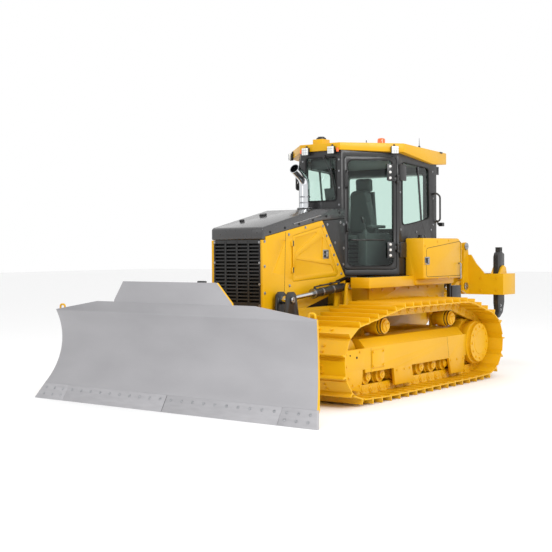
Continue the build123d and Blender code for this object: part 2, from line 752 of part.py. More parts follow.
seat_x = -520.0
floor_top_z = cab_floor_z + cab_wall + seat_gap
with BuildPart() as seat_base:
    block((seat_x - 190, seat_x + 190), (-200, 200), (floor_top_z, floor_top_z + 330))
save(seat_base, "seat_base")

cushion_z = floor_top_z + 330 + seat_gap
with BuildPart() as seat:
    side_slab([(seat_x + 260, cushion_z + 30), (seat_x + 250, cushion_z + 110),
               (seat_x - 130, cushion_z + 100), (seat_x - 230, cushion_z + 720),
               (seat_x - 320, cushion_z + 710), (seat_x - 250, cushion_z), (seat_x + 200, cushion_z)],
              -240, 240)
    block((seat_x - 315, seat_x - 225), (-130, 130), (cushion_z + 730, cushion_z + 900))
    side_slab([(seat_x - 235, cushion_z + 700), (seat_x - 300, cushion_z + 700),
               (seat_x - 300, cushion_z + 740), (seat_x - 240, cushion_z + 740)], -60, 60)
save(seat, "seat")

with BuildPart() as consoles:
    for sign in (1, -1):
        y_pair = sorted((sign * 270, sign * 400))
        block((seat_x - 250, seat_x + 330), y_pair, (floor_top_z, floor_top_z + 480))
    block((20, cab_front_x - cab_wall - seat_gap), (-200, 200), (floor_top_z, 2240))
save(consoles, "consoles")

# ---------------------------------------------------------------- rear housing round the cab
housing_front_x = -500.0
housing_back_x = -1530.0
housing_half_width = 1056.0
housing_bottom_z = 1300.0
housing_top_z = 1820.0
with BuildPart() as rear_housing:
    side_slab([(housing_back_x, housing_bottom_z), (housing_front_x, housing_bottom_z),
               (housing_front_x, housing_top_z), (housing_back_x + 90, housing_top_z),
               (housing_back_x, housing_top_z - 60)], -housing_half_width, housing_half_width)
    block((housing_back_x, housing_front_x), (-housing_half_width + 120, housing_half_width - 120),
          (deck_z + seat_gap, housing_bottom_z + 1))
    block((cab_back_x - 15, housing_front_x + 1), (-cab_half_width - 8, cab_half_width + 8),
          (deck_z, housing_top_z + 1), Mode.SUBTRACT)
save(rear_housing, "rear_housing")

with BuildPart() as fenders:
    for sign in (1, -1):
        ledge = sorted((sign * 660, sign * 920))
        plate = sorted((sign * (deck_half_width + seat_gap), sign * (deck_half_width + 28)))
        block((housing_front_x + seat_gap, 580), ledge, (deck_z + seat_gap, cab_floor_z - 14))
        block((housing_back_x, 300), plate, (frame_top_z, deck_z - 1))
        block((housing_front_x + seat_gap, 300), plate, (deck_z - 2, deck_z + 2))
save(fenders, "fenders")

with BuildPart() as cab_mounts:
    for x in (100, -1100):
        for sign in (1, -1):
            y = sign * (200 if x > 0 else 600)
            bar((x, y, deck_z + seat_gap), (x, y, cab_floor_z - seat_gap), 60)
save(cab_mounts, "cab_mounts")

# ---------------------------------------------------------------- blade
edge_top_z = 166.0
yoke_front_x = 2838.0
tilt_pin_radius = 50.0
tilt_pin_end = 2874.0
edge_rise_x = 98.0
edge_depth = 33.0
edge_half_top = 1918.0
end_bit_y = 1509.0
face_top_z = 1014.0
shoulder_z = 1127.0
guard_top_z = 1353.0
face = {
    "seam": (blade_tip_x - edge_rise_x, edge_top_z + seat_gap),
    "middle": (blade_tip_x - 272, 640),
    "top": (blade_tip_x - 211, face_top_z),
    "shoulder": (blade_tip_x - 163, shoulder_z),
    "guard": (blade_tip_x - 130, guard_top_z),
}
side_waist = (700.0, 1808.0)     # where the concave side edges come nearest to the middle
crown = [(face_top_z, 1840), (shoulder_z, 1113), (shoulder_z, 839), (1150, 832), (guard_top_z, 665)]


def back_of(point, depth=plate_thickness):
    """The same point on the plate's back."""
    return (point[0] - depth, point[1])


with BuildPart() as blade:
    with BuildSketch(side_plane(blade_half_width)) as section:
        with BuildLine():
            ThreePointArc(face["seam"], face["middle"], face["top"])
            Polyline(face["top"], face["shoulder"], face["guard"], back_of(face["guard"]),
                     back_of(face["shoulder"]), back_of(face["top"]))
            heel = (blade_tip_x - edge_rise_x - edge_depth - 32, 200)
            ThreePointArc(back_of(face["top"]), back_of(face["middle"]), heel)
            Polyline(heel, (blade_tip_x - 98, 60), (blade_tip_x - 68.7, 60),
                     (blade_tip_x - edge_rise_x - edge_depth - seat_gap, edge_top_z + seat_gap),
                     face["seam"])
        make_face()
    extrude(section.sketch, amount=2 * blade_half_width)
    # ribs and channels welded on the back
    for rib_y in (-1130, -760, -300, 300, 760, 1130):
        side_slab([(blade_tip_x - 150, 190), (blade_tip_x - 240, 400), (blade_tip_x - 345, 400),
                   (blade_tip_x - 345, 200)], rib_y - 12, rib_y + 12)
        side_slab([(blade_tip_x - 285, 740), (blade_tip_x - 225, 1010), (blade_tip_x - 345, 1000),
                   (blade_tip_x - 345, 740)], rib_y - 12, rib_y + 12)
    side_slab([(blade_tip_x - 345, 250), (blade_tip_x - 170, 250), (blade_tip_x - 215, 340),
               (blade_tip_x - 345, 340)], -1140, 1140)
    side_slab([(blade_tip_x - 330, 890), (blade_tip_x - 258, 890), (blade_tip_x - 232, 980),
               (blade_tip_x - 330, 980)], -1600, 1600)
    # tilt boss
    bar((yoke_front_x + 7, 0, angle_pivot_z), (blade_tip_x - 283, 0, angle_pivot_z), 95)
    bar((yoke_front_x, 0, angle_pivot_z), (tilt_pin_end, 0, angle_pivot_z), tilt_pin_radius + pin_gap,
        Mode.SUBTRACT)
    # tilt-cylinder ears
    for x in (2744, 2820):
        front_slab([(650, 905), (650, 830), (740, 790), (780, 905)], x, x + 18)
    block((2744, blade_tip_x - 300), (650, 780), (890, 905))
    with BuildSketch(front_plane(2600)) as front_outline:
        with BuildLine():
            for side in (1, -1):
                Polyline((0, 0), (side * edge_half_top, 0), (side * edge_half_top, edge_top_z))
                ThreePointArc((side * edge_half_top, edge_top_z), (side * side_waist[1], side_waist[0]),
                              (side * crown[0][1], crown[0][0]))
                Polyline([(side * y, z) for z, y in crown] + [(0, guard_top_z)])
        make_face()
    extrude(front_outline.sketch, amount=700, mode=Mode.INTERSECT)
save(blade, "blade")

with BuildPart() as cutting_edges:
    # y at the tip and at the seam, from one side to the other
    cuts = [(-blade_half_width, -edge_half_top), (-end_bit_y, -end_bit_y), (0, 0),
            (end_bit_y, end_bit_y), (blade_half_width, edge_half_top)]
    side_slab([(blade_tip_x, 0), (blade_tip_x - edge_rise_x, edge_top_z),
               (blade_tip_x - edge_rise_x - edge_depth, edge_top_z), (blade_tip_x - edge_depth, 0)],
              -blade_half_width, blade_half_width)
    front_slab([(-blade_half_width, 0), (blade_half_width, 0), (edge_half_top, edge_top_z),
                (-edge_half_top, edge_top_z)], 2900, 3300, Mode.INTERSECT)
    for cut_y in (-end_bit_y, 0, end_bit_y):
        block((2900, 3300), (cut_y - 1, cut_y + 1), (-1, 200), Mode.SUBTRACT)
save(cutting_edges, "cutting_edges")

# ---------------------------------------------------------------- push frame
eye_radius = 90.0
cross_x = (2270.0, 2450.0)
nose_radius = 70.0
nose_low = (angle_pivot_z - 90, angle_pivot_z - 60)
nose_high = (angle_pivot_z + 60, angle_pivot_z + 90)
with BuildPart() as push_frame:
    for sign in (1, -1):
        arm_pair = sorted((sign * arm_inner_y, sign * arm_outer_y))
        side_slab([(lift_pivot_x, lift_pivot_z - 80), (700, 340), (cross_x[0] + 10, 340),
                   (cross_x[0] + 10, 520), (700, 520), (lift_pivot_x, lift_pivot_z + 80)],
                  arm_pair[0], arm_pair[1])
        lateral_bar(lift_pivot_x, lift_pivot_z, arm_pair[0], arm_pair[1], eye_radius)
        # towers of two plates on a foot
        foot_pair = sorted((sign * tower_inner_y, sign * arm_outer_y))
        block((1560, 1960), foot_pair, (480, 530))
        for plate_y in (tower_inner_y, tower_outer_y - tower_plate):
            pair = sorted((sign * plate_y, sign * (plate_y + tower_plate)))
            side_slab([(1500, 500), (1960, 500), (1800, 900), (1775, 1180), (1735, 1212),
                       (1650, 1212), (1608, 1180), (1545, 880)], pair[0], pair[1])
        web_pair = sorted((sign * tower_inner_y, sign * tower_outer_y))
        block((1740, 1768), web_pair, (500, 960))
        # angle-cylinder brackets
        for z in (angle_pivot_z - 48, angle_pivot_z + 28):
            bracket = sorted((sign * (arm_inner_y + 10), sign * 745))
            block((1240, 1345), bracket, (z, z + 20))
        base = sorted((sign * (arm_inner_y + 10), sign * arm_outer_y))
        block((1240, 1350), base, (500, angle_pivot_z + 48))
        bar((1300, sign * 700, angle_pivot_z - 48), (1300, sign * 700, angle_pivot_z + 56), 20)
        lateral_bar(tower_pin_x, tower_pin_z, sign * (tower_outer_y - 1), sign * (tower_outer_y + 14), 40)
        lateral_bar(lift_pivot_x, lift_pivot_z, sign * (arm_inner_y - 1), sign * (arm_outer_y + 1),
                    48 + pin_gap, Mode.SUBTRACT)
    block(cross_x, (-arm_outer_y, arm_outer_y), (340, 660))
    for low, high in (nose_low, nose_high):
        plan_slab([(cross_x[1] - 1, -260), (cross_x[1] - 1, 260), (angle_pivot_x, nose_radius),
                   (angle_pivot_x, -nose_radius)], low, high)
        bar((angle_pivot_x, 0, low), (angle_pivot_x, 0, high), nose_radius)
    bar((angle_pivot_x, 0, nose_low[0]), (angle_pivot_x, 0, nose_high[1] + 12), 36)
save(push_frame, "push_frame")

# ---------------------------------------------------------------- blade yoke
yoke_half = 55.0
yoke_pin_x = 2790.0
yoke_pin_y = 740.0
tilt_base_z = 930.0
tilt_x = 2791.0
with BuildPart() as yoke:
    plan_slab([(2838, -800), (2838, 800), (2745, 800), (2745, 690), (2690, 120), (2690, -120),
               (2745, -690), (2745, -800)], angle_pivot_z - yoke_half + 1, angle_pivot_z + yoke_half - 1)
    bar((angle_pivot_x, 0, angle_pivot_z - yoke_half), (angle_pivot_x, 0, angle_pivot_z + yoke_half), 85)
    for sign in (1, -1):
        slot = sorted((sign * 680, sign * 801))
        block((2700, 2839), slot, (angle_pivot_z - 28, angle_pivot_z + 28), Mode.SUBTRACT)
        for z in (angle_pivot_z - yoke_half - 8, angle_pivot_z + yoke_half - 2):
            bar((yoke_pin_x, sign * yoke_pin_y, z), (yoke_pin_x, sign * yoke_pin_y, z + 10), 34)
    bar((angle_pivot_x, 0, angle_pivot_z - 60), (angle_pivot_x, 0, angle_pivot_z + 60), 36 + pin_gap,
        Mode.SUBTRACT)
    bar((yoke_front_x - 10, 0, angle_pivot_z), (tilt_pin_end - 1, 0, angle_pivot_z), tilt_pin_radius)
    # upright that carries the tilt cylinder
    front_slab([(-110, 612), (110, 612), (110, 668), (48, 965), (-48, 965), (-110, 668)], 2820, 2838)
    front_slab([(-110, 668), (110, 668), (48, 965), (-48, 965)], 2744, 2762)
    block((2744, 2838), (-110, 110), (668, 690))
    bar((2744, 0, tilt_base_z), (2838, 0, tilt_base_z), 20)
save(yoke, "blade_yoke")


# ---------------------------------------------------------------- cylinders
def barrel(base, tip, pin_direction, length, radius, rod_radius, eye_half, pin_radius, neck=10.0):
    """A cylinder barrel: an eye round its base pin, a neck, and a bored tube towards the rod's eye."""
    along = (Vector(*tip) - Vector(*base)).normalized()
    pin = Vector(*pin_direction)
    start = Vector(*base)
    mouth = start + along * length
    bar(tuple(start + along * neck), tuple(mouth), radius)
    bar(tuple(start), tuple(start + along * (neck + 1)), min(eye_half - 2, radius - 2))
    bar(tuple(start - pin * eye_half), tuple(start + pin * eye_half), pin_radius + 16)
    bar(tuple(mouth - along * 40), tuple(mouth), radius + 8)
    bar(tuple(start + along * (neck + 15)), tuple(mouth + along * 1), rod_radius + pin_gap,
        Mode.SUBTRACT)
    bar(tuple(start - pin * (eye_half + 1)), tuple(start + pin * (eye_half + 1)),
        pin_radius + pin_gap, Mode.SUBTRACT)


def piston_rod(base, tip, pin_direction, rod_length, rod_radius, eye_radius_mm, eye_half):
    """A piston rod from its eye back into the barrel."""
    along = (Vector(*tip) - Vector(*base)).normalized()
    pin = Vector(*pin_direction)
    end = Vector(*tip)
    bar(tuple(end - along * rod_length), tuple(end - along * 5), rod_radius)
    bar(tuple(end - pin * eye_half), tuple(end + pin * eye_half), eye_radius_mm)


lift_middle_y = (tower_inner_y + tower_outer_y) / 2
lift_eye_half = (tower_outer_y - tower_inner_y) / 2 - tower_plate - swing_gap
with BuildPart() as lift_barrels:
    for sign in (1, -1):
        barrel((lift_base_x, sign * lift_middle_y, lift_base_z),
               (tower_pin_x, sign * lift_middle_y, tower_pin_z), (0, 1, 0),
               640, 50, 30, lift_eye_half, 26, 40)
save(lift_barrels, "lift_barrels")
with BuildPart() as lift_rods:
    for sign in (1, -1):
        piston_rod((lift_base_x, sign * lift_middle_y, lift_base_z),
                   (tower_pin_x, sign * lift_middle_y, tower_pin_z), (0, 1, 0), 800, 30, 46, lift_eye_half)
save(lift_rods, "lift_rods")

angle_eye_half = 22.0
for side, sign in (("left", 1), ("right", -1)):
    angle_base = (1300.0, sign * 700.0, angle_pivot_z)
    angle_tip = (yoke_pin_x, sign * yoke_pin_y, angle_pivot_z)
    with BuildPart() as angle_barrel:
        barrel(angle_base, angle_tip, (0, 0, 1), 1080, 40, 24, angle_eye_half, 20, 60)
    save(angle_barrel, f"angle_barrel_{side}")
    with BuildPart() as angle_rod:
        piston_rod(angle_base, angle_tip, (0, 0, 1), 1090, 24, 34, angle_eye_half)
    save(angle_rod, f"angle_rod_{side}")

tilt_base = (tilt_x, 0, tilt_base_z)
tilt_tip = (tilt_x, 700, 850)
with BuildPart() as tilt_barrel:
    barrel(tilt_base, tilt_tip, (1, 0, 0), 520, 40, 24, 20, 20, 84)
save(tilt_barrel, "tilt_barrel")
with BuildPart() as tilt_rod:
    piston_rod(tilt_base, tilt_tip, (1, 0, 0), 480, 24, 34, 18)
save(tilt_rod, "tilt_rod")

# ---------------------------------------------------------------- ripper
link_y = (376.0, 440.0)
plate_y = (462.0, 502.0)
upper_tip_z = link_tip_z + upper_pin_rise
ripper_cylinder_y = 240.0
ripper_base = (link_base_x, link_base_z + upper_pin_rise)
ripper_tip = (link_tip_x + 40, link_tip_z - 18)
tube_x = link_tip_x + 160
tube_z = link_tip_z - 130
with BuildPart() as ripper_links:
    for sign in (1, -1):
        for rise in (0, upper_pin_rise):
            pair = sorted((sign * link_y[0], sign * link_y[1]))
            width = 60 if rise == 0 else 45
            direction = Vector(link_tip_x - link_base_x, link_tip_z - link_base_z).normalized()
            normal = Vector(-direction.Y, direction.X) * width
            start = Vector(link_base_x, link_base_z + rise)
            end = Vector(link_tip_x, link_tip_z + rise)
            if rise:
                continue
            corners = [start + normal, start - normal, end - normal, end + normal]
            side_slab([(c.X, c.Y) for c in corners], pair[0], pair[1])
            lateral_bar(start.X, start.Y, pair[0], pair[1], width + 8)
            lateral_bar(end.X, end.Y, pair[0], pair[1], width + 8)
            lateral_bar(start.X, start.Y, pair[0] - 1, pair[1] + 1, 28 + pin_gap, Mode.SUBTRACT)
            # pin stub that the ripper frame turns on
            lateral_bar(end.X, end.Y, sign * (link_y[1] - 1), sign * (plate_y[1] + 10), 30)
    lateral_bar(tube_x, tube_z, -link_y[0] - 1, link_y[0] + 1, 45)
    for sign in (1, -1):
        for ear_y in (ripper_cylinder_y - 66, ripper_cylinder_y + 46):
            pair = sorted((sign * ear_y, sign * (ear_y + 20)))
            side_slab([(tube_x + 20, tube_z + 40), (tube_x - 20, tube_z - 40),
                       (ripper_tip[0] - 20, ripper_tip[1] - 50), (ripper_tip[0] - 55, ripper_tip[1]),
                       (ripper_tip[0] - 20, ripper_tip[1] + 50), (ripper_tip[0] + 20, ripper_tip[1] + 48)],
                      pair[0], pair[1])
        for cap_y in (ripper_cylinder_y - 74, ripper_cylinder_y + 65):
            lateral_bar(ripper_tip[0], ripper_tip[1], sign * cap_y, sign * (cap_y + 9), 34)
save(ripper_links, "ripper_links")

with BuildPart() as upper_links:
    for sign in (1, -1):
        pair = sorted((sign * link_y[0], sign * link_y[1]))
        start = Vector(link_base_x, link_base_z + upper_pin_rise)
        end = Vector(link_tip_x, upper_tip_z)
        direction = (end - start).normalized()
        normal = Vector(-direction.Y, direction.X) * 40
        side_slab([(c.X, c.Y) for c in (start + normal, start - normal, end - normal, end + normal)],
                  pair[0], pair[1])
        for point in (start, end):
            lateral_bar(point.X, point.Y, pair[0], pair[1], 52)
        lateral_bar(start.X, start.Y, pair[0] - 1, pair[1] + 1, 28 + pin_gap, Mode.SUBTRACT)
save(upper_links, "ripper_upper_links")

with BuildPart() as ripper_frame:
    block((ripper_back_x, beam_front_x), (-ripper_half_width, ripper_half_width),
          (beam_bottom_z, beam_top_z))
    for shank in (-1, 0, 1):
        shank_low = shank * shank_spacing - shank_thickness / 2 - seat_gap
        shank_high = shank * shank_spacing + shank_thickness / 2 + seat_gap
        block((-3080 - seat_gap, -2870 + seat_gap), (shank_low, shank_high),
              (beam_bottom_z - 1, beam_top_z + 1), Mode.SUBTRACT)
        for y in (shank_low - 34, shank_high + 4):
            side_slab([(-3090, beam_top_z - 1), (-3060, beam_top_z + 90), (-2990, beam_top_z + 120),
                       (-2930, beam_top_z + 90), (-2860, beam_top_z - 1)], y, y + 30)
    for sign in (1, -1):
        pair = sorted((sign * plate_y[0], sign * plate_y[1]))
        side_slab([(beam_front_x - 60, beam_bottom_z + 20), (beam_front_x + 20, beam_bottom_z),
                   (link_tip_x + 75, link_tip_z - 60), (link_tip_x + 75, link_tip_z + 60),
                   (link_tip_x + 50, upper_tip_z - 40), (link_tip_x + 50, upper_tip_z + 50),
                   (link_tip_x - 30, upper_tip_z + 60), (link_tip_x - 90, upper_tip_z - 60),
                   (beam_front_x - 60, beam_top_z)], pair[0], pair[1])
        lateral_bar(link_tip_x, link_tip_z, pair[0] - 1, pair[1] + 1, 30 + pin_gap, Mode.SUBTRACT)
        # sloped gusset from the tower down to the beam
        gusset = [(sign * plate_y[0], beam_top_z - 1), (sign * 760, beam_top_z - 1), (sign * 620, 1470),
                  (sign * 540, upper_tip_z - 120), (sign * plate_y[0], upper_tip_z - 120)]
        front_slab(gusset, beam_front_x - 30, beam_front_x)
        # upper pin caps
        lateral_bar(link_tip_x, upper_tip_z, sign * (plate_y[1] - 1), sign * (plate_y[1] + 14), 40)
save(ripper_frame, "ripper_frame")

with BuildPart() as shanks:
    for shank in (-1, 0, 1):
        y_low = shank * shank_spacing - shank_thickness / 2
        side_slab([(-2870, 1560), (-2900, 1620), (-2940, 1630), (-2940, 1700), (-3010, 1700),
                   (-3010, 1630), (-3080, 1600), (-3080, 900), (-3030, 760), (-2930, 690),
                   (-2840, 680), (-2900, 760), (-2870, 900)], y_low, y_low + shank_thickness)
        lateral_bar(-2975, 1665, y_low - 1, y_low + shank_thickness + 1, 18, Mode.SUBTRACT)
save(shanks, "ripper_shanks")

# lift cylinders of the ripper, between the links
with BuildPart() as ripper_barrels:
    for sign in (1, -1):
        barrel((ripper_base[0], sign * ripper_cylinder_y, ripper_base[1]),
               (ripper_tip[0], sign * ripper_cylinder_y, ripper_tip[1]), (0, 1, 0), 650, 48, 28, 40, 28, 30)
save(ripper_barrels, "ripper_barrels")
with BuildPart() as ripper_rods:
    for sign in (1, -1):
        piston_rod((ripper_base[0], sign * ripper_cylinder_y, ripper_base[1]),
                   (ripper_tip[0], sign * ripper_cylinder_y, ripper_tip[1]), (0, 1, 0), 720, 28, 44, 40)
save(ripper_rods, "ripper_rods")

# ---------------------------------------------------------------- small roof fittings
lamp_height = (2872.0, 2965.0)
lamp_depth = 60.0
lamp_half_width = 45.0
front_lamp_y = 195.0
side_lamp_share = 0.844      # along the roof's slanted edge, from its front corner
edge_start = Vector(*roof_plan[0])
edge_run = Vector(*roof_plan[1]) - edge_start
edge_out = Vector(-edge_run.Y, edge_run.X).normalized()
if edge_out.Y < 0:
    edge_out = -edge_out
side_lamp = edge_start + edge_run * side_lamp_share + edge_out * seat_gap
with BuildPart() as lamps:
    for sign in (1, -1):
        block((roof_plan[0][0] + seat_gap, roof_plan[0][0] + seat_gap + lamp_depth),
              sorted((sign * (front_lamp_y - lamp_half_width), sign * (front_lamp_y + lamp_half_width))),
              lamp_height)
        corners = [side_lamp + edge_run.normalized() * along + edge_out * out for along, out in (
            (-lamp_half_width, 0), (lamp_half_width, 0), (lamp_half_width, lamp_depth),
            (-lamp_half_width, lamp_depth))]
        plan_slab([(c.X, sign * c.Y) for c in corners], lamp_height[0], lamp_height[1])
save(lamps, "roof_lamps")
beacon_place = (-400.0, 498.0)
with BuildPart() as beacon:
    beacon_seat_z = roof_top(beacon_place[0]) + 2
    bar((*beacon_place, beacon_seat_z), (*beacon_place, 3100), 53)
save(beacon, "beacon")
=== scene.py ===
# %% [markdown]
# # A crawler dozer
# The solids of the machine arrive as one frame. Each step below gives
# a part of it the finish and the small fittings of the real machine: rounded edges on the
# plates, paint, bolts, short pipes, glass, a seat. Everything is in metres, +X is forward to the
# blade, +Y is the driver's left and +Z is up.

# %% load the machine
import json
import math

import bmesh
import bpy
from mathutils import Matrix, Vector


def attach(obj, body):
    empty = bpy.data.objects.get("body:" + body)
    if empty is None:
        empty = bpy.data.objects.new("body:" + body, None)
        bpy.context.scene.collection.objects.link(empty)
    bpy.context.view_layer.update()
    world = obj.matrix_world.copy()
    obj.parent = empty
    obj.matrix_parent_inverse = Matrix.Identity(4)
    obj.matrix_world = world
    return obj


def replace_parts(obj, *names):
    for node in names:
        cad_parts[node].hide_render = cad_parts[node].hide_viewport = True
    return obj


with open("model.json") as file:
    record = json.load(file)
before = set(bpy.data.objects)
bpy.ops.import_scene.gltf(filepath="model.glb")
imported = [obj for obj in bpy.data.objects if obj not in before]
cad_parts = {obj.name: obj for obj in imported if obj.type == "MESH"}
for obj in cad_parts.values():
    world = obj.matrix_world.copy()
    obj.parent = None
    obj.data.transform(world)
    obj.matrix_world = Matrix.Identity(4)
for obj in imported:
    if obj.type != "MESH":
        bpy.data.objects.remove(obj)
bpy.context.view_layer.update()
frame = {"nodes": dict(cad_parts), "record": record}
nodes = frame["nodes"]
home = {node: body for body, group in frame["record"]["behaviour"]["bodies"].items() for node in group}

# %% [markdown]
# ## Small helpers
# Colours are written the way a paint chart shows them, as sRGB hex, and turned to linear
# light in one place. One function adds any shader or geometry node with its settings and
# links, so that each material reads as a list of what it is made of.

# %% colour and node helpers
def linear(code):
    """sRGB hex to a linear RGBA colour."""
    parts = [int(code[i:i + 2], 16) / 255 for i in (1, 3, 5)]
    return tuple(c / 12.92 if c < 0.04045 else ((c + 0.055) / 1.055) ** 2.4 for c in parts) + (1.0,)


def add(tree, kind, values=None, links=None, **settings):
    """Add one node to a tree, with its settings, socket values and incoming links."""
    made = tree.nodes.new(kind)
    for name, value in settings.items():
        setattr(made, name, value)
    for socket, value in (values or {}).items():
        made.inputs[socket].default_value = value
    for socket, source in (links or {}).items():
        tree.links.new(source, made.inputs[socket])
    return made


def blank_material(name):
    """A new material with only its output, and a place in millimetres to hang patterns on."""
    material = bpy.data.materials.new(name)
    material.use_nodes = True
    tree = material.node_tree
    tree.nodes.clear()
    output = add(tree, "ShaderNodeOutputMaterial")
    place = add(tree, "ShaderNodeTexCoord").outputs["Object"]
    return material, tree, output, place


def ramp(tree, source, low, high, low_value=0.0, high_value=1.0):
    """Stretch a value from one span to another."""
    return add(tree, "ShaderNodeMapRange", {"From Min": low, "From Max": high, "To Min": low_value,
                                            "To Max": high_value}, {"Value": source}).outputs["Result"]


# %% [markdown]
# ## Paint
# The machine is sprayed with a two-pack enamel over steel plate. A sprayed coat is never
# quite flat: it has orange peel a few millimetres wide, and it reads a little warmer and
# duller where dust has settled. The yellow, the black and the grey coats differ in colour
# and gloss only, so one function mixes all of them.

# %% enamel coats
def enamel(name, colour, shade, roughness, peel=0.12, dust="#9C8F78", dust_amount=0.10, coat=0.25, specular=0.5):
    """Sprayed enamel: a colour that drifts to a shade, settled dust and orange peel."""
    material, tree, output, place = blank_material(name)
    drift = add(tree, "ShaderNodeTexNoise", {"Scale": 1.6, "Detail": 3.0}, {"Vector": place})
    mixed = add(tree, "ShaderNodeMix", {"A": linear(colour), "B": linear(shade)},
                {"Factor": ramp(tree, drift.outputs["Fac"], 0.40, 0.75)}, data_type="RGBA")
    # dust lies in patches about 40 mm wide, on faces that look up
    patches = add(tree, "ShaderNodeTexNoise", {"Scale": 25.0, "Detail": 6.0}, {"Vector": place})
    facing = add(tree, "ShaderNodeSeparateXYZ", links={
        "Vector": add(tree, "ShaderNodeNewGeometry").outputs["Normal"]}).outputs["Z"]
    settled = add(tree, "ShaderNodeMath", {1: dust_amount}, {0: add(
        tree, "ShaderNodeMath", links={0: ramp(tree, patches.outputs["Fac"], 0.45, 0.75),
                                       1: ramp(tree, facing, 0.2, 1.0)},
        operation="MULTIPLY").outputs[0]}, operation="MULTIPLY").outputs[0]
    dusty = add(tree, "ShaderNodeMix", {"B": linear(dust)},
                {"Factor": settled, "A": mixed.outputs["Result"]}, data_type="RGBA")
    # orange peel, 6 mm from crest to crest, drawn a little coarser than real so that it shows
    peel_noise = add(tree, "ShaderNodeTexNoise", {"Scale": 160.0, "Detail": 1.0}, {"Vector": place})
    bump = add(tree, "ShaderNodeBump", {"Strength": peel, "Distance": 0.0006},
               {"Height": peel_noise.outputs["Fac"]})
    gloss = ramp(tree, patches.outputs["Fac"], 0.3, 0.8, roughness * 0.85, roughness * 1.25)
    shader = add(tree, "ShaderNodeBsdfPrincipled",
                 {"IOR": 1.5, "Coat Weight": coat, "Coat Roughness": 0.12, "Specular IOR Level": specular},
                 {"Base Color": dusty.outputs["Result"], "Roughness": gloss, "Normal": bump.outputs["Normal"]})
    tree.links.new(shader.outputs["BSDF"], output.inputs["Surface"])
    return material


yellow_enamel = enamel("yellow_enamel", "#DDA80A", "#D59F08", 0.36, coat=0.08,
                       specular=0.3)
black_enamel = enamel("black_enamel", "#171718", "#131314", 0.42, dust_amount=0.06)
grey_enamel = enamel("grey_enamel", "#212122", "#1C1C1D", 0.45, dust_amount=0.06)
hood_enamel = enamel("hood_enamel", "#333335", "#2D2D2E", 0.30, dust_amount=0.06, coat=0.6)
cast_enamel = enamel("cast_iron_paint", "#222223", "#1B1B1C", 0.6, peel=0.5)
print("enamel coats:", yellow_enamel.name, black_enamel.name, grey_enamel.name)

# %% [markdown]
# ## Bare metal
# The blade's face leaves the factory in a plain silver primer that looks like brushed
# steel, and its cutting edges are rolled plate. Rods are hard chrome. Metal gets its look
# from reflections, so the noise goes to roughness and bump and hardly to colour.

# %% metal finishes
def metal(name, colour, shade, roughness, metallic=1.0, grain=(8.0, 8.0, 8.0), bump_strength=0.1):
    """Bare or plated metal, with a grain given as noise scale along each axis."""
    material, tree, output, place = blank_material(name)
    stretched = add(tree, "ShaderNodeMapping", {"Scale": grain}, {"Vector": place})
    grain_noise = add(tree, "ShaderNodeTexNoise", {"Scale": 1.0, "Detail": 5.0},
                      {"Vector": stretched.outputs["Vector"]})
    colours = add(tree, "ShaderNodeMix", {"A": linear(colour), "B": linear(shade)},
                  {"Factor": ramp(tree, grain_noise.outputs["Fac"], 0.35, 0.7)}, data_type="RGBA")
    bump = add(tree, "ShaderNodeBump", {"Strength": bump_strength, "Distance": 0.0005},
               {"Height": grain_noise.outputs["Fac"]})
    shader = add(tree, "ShaderNodeBsdfPrincipled", {"Metallic": metallic},
                 {"Base Color": colours.outputs["Result"],
                  "Roughness": ramp(tree, grain_noise.outputs["Fac"], 0.3, 0.7, roughness * 0.8, roughness * 1.2),
                  "Normal": bump.outputs["Normal"]})
    tree.links.new(shader.outputs["BSDF"], output.inputs["Surface"])
    return material


blade_steel = metal("primed_blade_steel", "#A6A5A8", "#A09FA2", 0.5, metallic=0.25, grain=(2.0, 1.2, 3.0),
                    bump_strength=0.05)
edge_steel = metal("rolled_edge_steel", "#ABAAAD", "#A4A3A6", 0.48, metallic=0.25, grain=(30.0, 6.0, 30.0))
bolt_steel = metal("zinc_plated_steel", "#B4B5B8", "#8E9093", 0.35, grain=(60.0, 60.0, 60.0))
chrome = metal("hard_chrome", "#D9DCDF", "#CDD0D3", 0.08, grain=(300.0, 300.0, 300.0), bump_strength=0.02)
dark_steel = metal("oiled_dark_steel", "#2C2B2A", "#201F1F", 0.5, metallic=0.6, grain=(20.0, 20.0, 20.0))
print("metals:", blade_steel.name, edge_steel.name, bolt_steel.name, chrome.name, dark_steel.name)

# %% [markdown]
# ## Glass, rubber, plastic and light lenses
# Cab glass is laminated and faintly green. Thin panes look best when light passes straight
# through them with a tint and only the gloss bends it, so the pane mixes a transparent and
# a glossy shader by Fresnel. Mouldings in the cab are grained ABS, the seat is vinyl.

# %% glass and plastics
def tinted_glass(name, tint):
    """A thin laminated pane: see-through tint plus a Fresnel reflection."""
    material, tree, output, place = blank_material(name)
    through = add(tree, "ShaderNodeBsdfTransparent", {"Color": linear(tint)})
    gloss = add(tree, "ShaderNodeBsdfGlossy", {"Roughness": 0.03, "Color": (0.9, 0.95, 0.93, 1.0)})
    fresnel = add(tree, "ShaderNodeFresnel", {"IOR": 1.45})
    # only the face that light enters by reflects: light doesn't bend in this thin pane
    entering = ramp(tree, add(tree, "ShaderNodeNewGeometry").outputs["Backfacing"], 0.0, 1.0, 1.0, 0.0)
    share = add(tree, "ShaderNodeMath", links={0: fresnel.outputs["Fac"], 1: entering}, operation="MULTIPLY")
    mixed = add(tree, "ShaderNodeMixShader", links={0: share.outputs[0], 1: through.outputs["BSDF"],
                                                    2: gloss.outputs["BSDF"]})
    tree.links.new(mixed.outputs["Shader"], output.inputs["Surface"])
    return material


